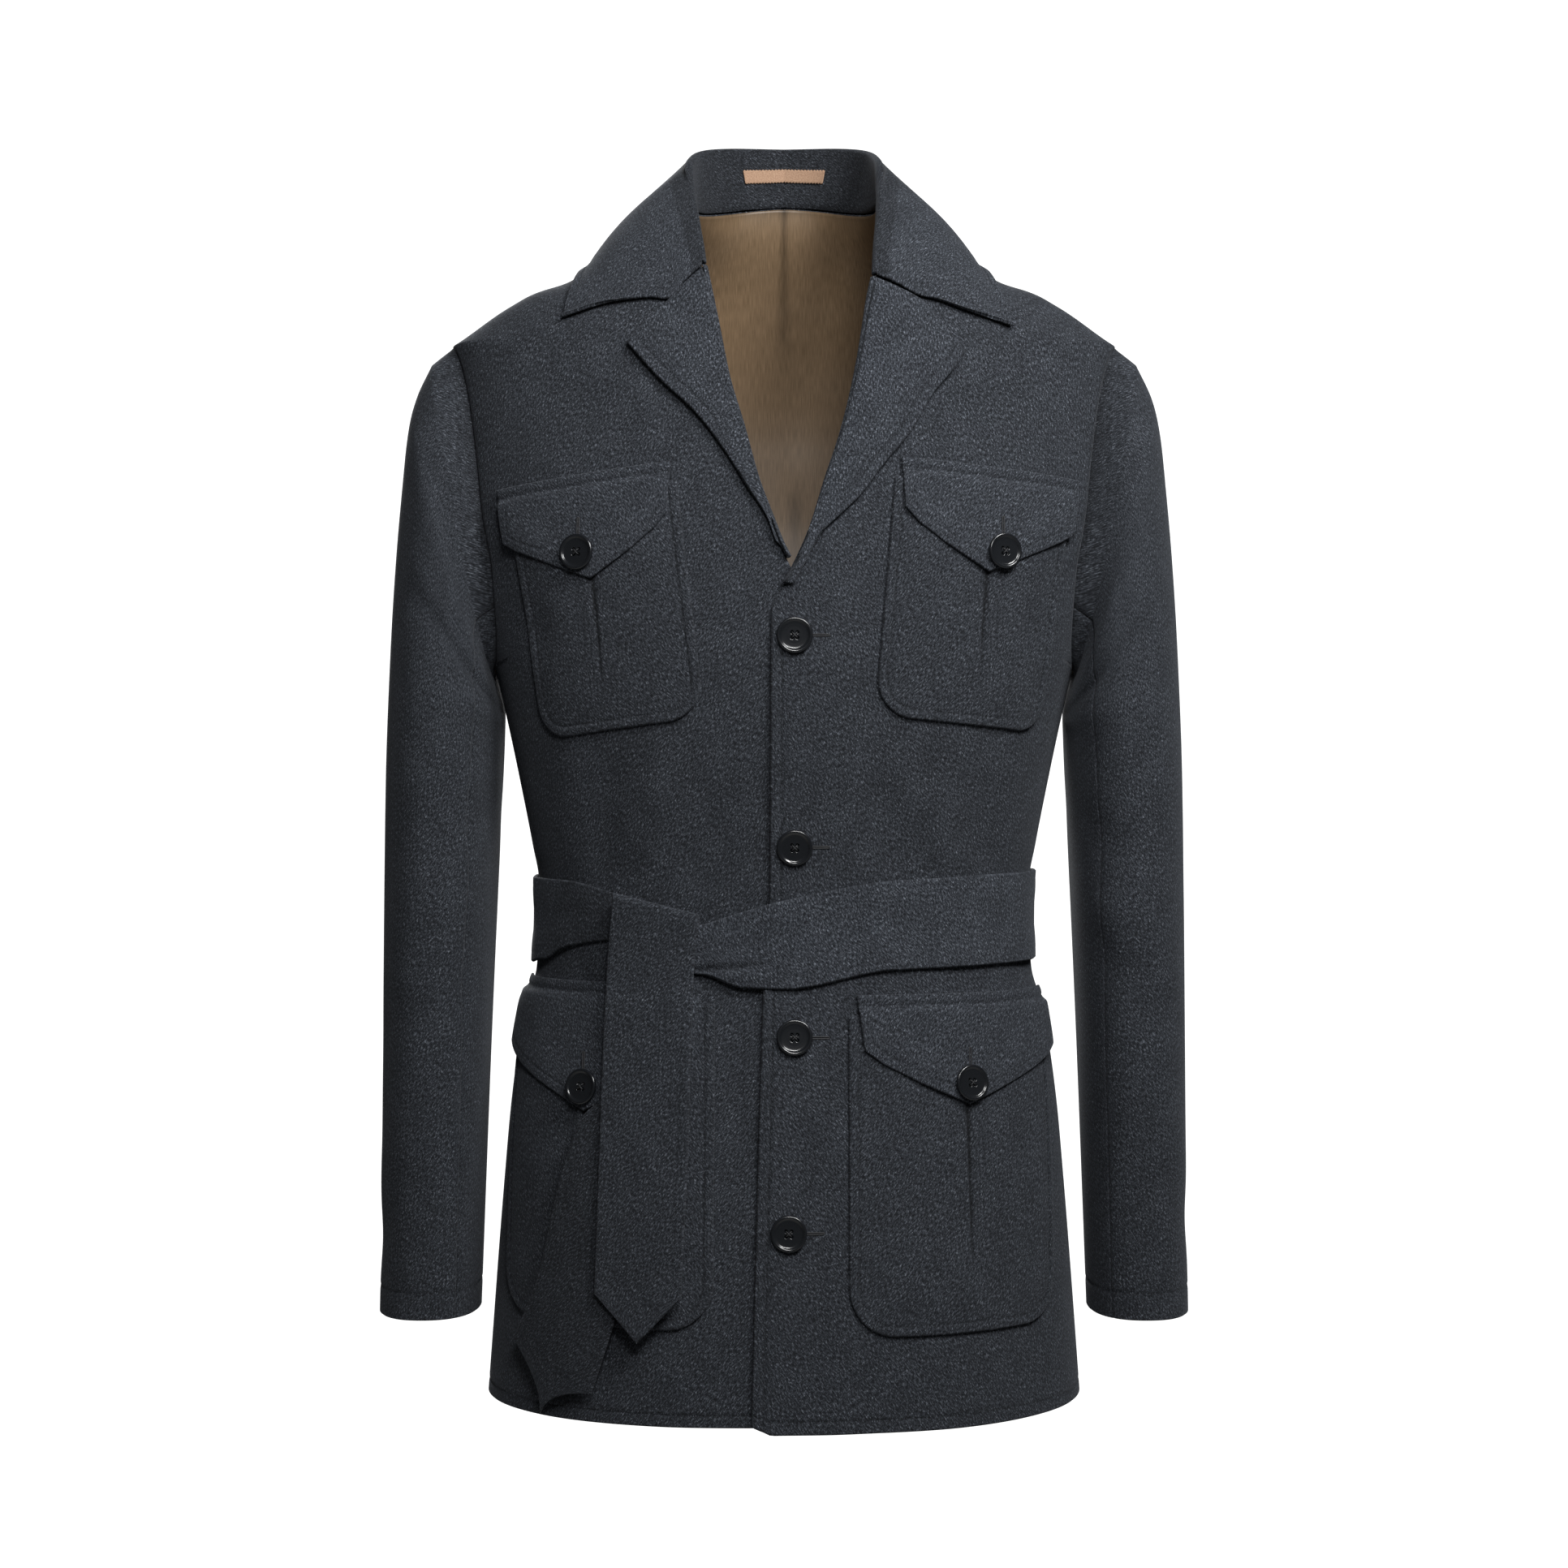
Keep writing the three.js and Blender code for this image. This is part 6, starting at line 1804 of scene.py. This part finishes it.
# Sheets of cloth: the flat cut of what shows, in metres and square metres
FRONTS = ["cloth_front_left", "cloth_front_right"]
SHEET_COLUMNS = "width length area held rests_on".split()
SHEETS = {
    "cloth_back": [0.6, 0.88, 0.385, "draped", []],
    "cloth_front_left": [0.3, 0.85, 0.184, "draped", ["cloth_front_right"]],
    "cloth_front_right": [0.3, 0.85, 0.189, "draped", []],
    "cloth_lining_back": [0.57, 0.86, 0.337, "draped", []],
    "cloth_lapel_left": [0.09, 0.22, 0.0096, "folded", ["cloth_front_left"]],
    "cloth_lapel_right": [0.085, 0.21, 0.0073, "folded", ["cloth_front_right"]],
    "cloth_collar": [0.154, 0.54, 0.0586, "folded", ["cloth_back", *FRONTS]],
    "hanger_tape_grosgrain": [0.075, 0.01, 0.0006, "laid", ["cloth_collar"]],
    "cloth_sleeve_left_top": [0.27, 0.655, 0.14, "draped", []],
    "cloth_sleeve_right_top": [0.27, 0.655, 0.14, "draped", []],
    "cloth_sleeve_left_under": [0.145, 0.48, 0.0503, "draped", []],
    "cloth_sleeve_right_under": [0.145, 0.48, 0.0503, "draped", []],
    "cloth_pocket_chest_left": [0.127, 0.156, 0.0194, "laid", ["cloth_front_left"]],
    "cloth_pocket_chest_right": [0.12, 0.154, 0.0181, "laid", ["cloth_front_right"]],
    "cloth_pocket_hip_left": [0.16, 0.202, 0.0317, "laid", ["cloth_front_left"]],
    "cloth_pocket_hip_right": [0.17, 0.206, 0.0341, "laid", ["cloth_front_right"]],
    "cloth_flap_chest_left": [0.13, 0.07, 0.0069, "laid", ["cloth_pocket_chest_left"]],
    "cloth_flap_chest_right": [0.125, 0.07, 0.0067, "laid", ["cloth_pocket_chest_right"]],
    "cloth_flap_hip_left": [0.165, 0.072, 0.0093, "laid", ["cloth_pocket_hip_left"]],
    "cloth_flap_hip_right": [0.175, 0.083, 0.0112, "laid", ["cloth_pocket_hip_right"]],
    "cloth_belt_waist": [0.89, 0.058, 0.0483, "laid", ["cloth_back", *FRONTS]],
    "cloth_belt_tail_front": [0.06, 0.29, 0.0168, "hung", ["cloth_belt_waist", "cloth_flap_hip_right"]],
    "cloth_belt_tail_under": [0.06, 0.27, 0.0154, "hung", ["cloth_pocket_hip_right"]],
}


def declare_sheets():
    for name, row in SHEETS.items():
        cut = dict(zip(SHEET_COLUMNS, row))
        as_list(cut["rests_on"])


declare_sheets()


# Floor, lights and camera

FLOOR_Z = -2.4
FLOOR_SIZE = 24
ROOM_RADIUS = 9.0
ROOM_MIDDLE_Z = -0.4


def stage():
    """A pale floor that only throws light back, and a white backdrop that only the camera sees."""
    bpy.ops.mesh.primitive_plane_add(size=FLOOR_SIZE, location=(0, 0, FLOOR_Z))
    floor = bpy.context.object
    floor.name = "floor_pale"
    paint = {"Base Color": linear("#f4f4f2"), "Roughness": 0.9}
    floor.data.materials.append(new_material("painted floor, matt", paint)[0])
    middle = (0, 0, ROOM_MIDDLE_Z)
    bpy.ops.mesh.primitive_uv_sphere_add(segments=48, ring_count=24, radius=ROOM_RADIUS, location=middle)
    room = bpy.context.object
    room.name = "backdrop_white"
    glow = {"Base Color": linear("#000000"), "Emission Color": linear("#ffffff"), "Emission Strength": 1.25}
    room.data.materials.append(new_material("studio backdrop, evenly lit", glow)[0])
    for way in ("visible_diffuse", "visible_glossy", "visible_transmission", "visible_shadow"):
        setattr(room, way, False)
    floor.visible_camera = False


def soft_light(name, place, target, size, power):
    light = bpy.data.lights.new(name, "AREA")
    light.shape = "SQUARE"
    light.size = size
    light.energy = power
    lamp = bpy.data.objects.new(name, light)
    lamp.location = place
    toward = mathutils.Vector(target) - mathutils.Vector(place)
    lamp.rotation_euler = toward.to_track_quat("-Z", "Y").to_euler()
    lamp.visible_camera = False
    bpy.context.scene.collection.objects.link(lamp)


stage()
soft_light("key_right", (0.78, -1.05, 0.78), (0, 0, -0.2), 0.5, 26)
soft_light("front_high", (0.12, -1.35, 0.42), (0, 0, -0.1), 0.4, 14)
soft_light("back_fill", (-0.4, 2.2, 0.7), (0, 0, -0.3), 1.6, 60)

world = bpy.data.worlds.new("studio air")
world.use_nodes = True
background = world.node_tree.nodes["Background"]
background.inputs["Color"].default_value = linear("#ffffff")
background.inputs["Strength"].default_value = 0.05
scene = bpy.context.scene
scene.world = world
scene.view_settings.view_transform = "Standard"

# A level camera, 1.8 m in front of the jacket and at the height of its middle
CAMERA_PLACE = (0, -1.8, -0.39)
CAMERA_LENS = 61.04
camera_data = bpy.data.cameras.new("camera")
camera_data.sensor_width = 36
camera_data.lens = CAMERA_LENS
camera = bpy.data.objects.new("camera", camera_data)
camera.location = CAMERA_PLACE
camera.rotation_euler = (math.radians(90), 0, 0)
scene.collection.objects.link(camera)
scene.camera = camera
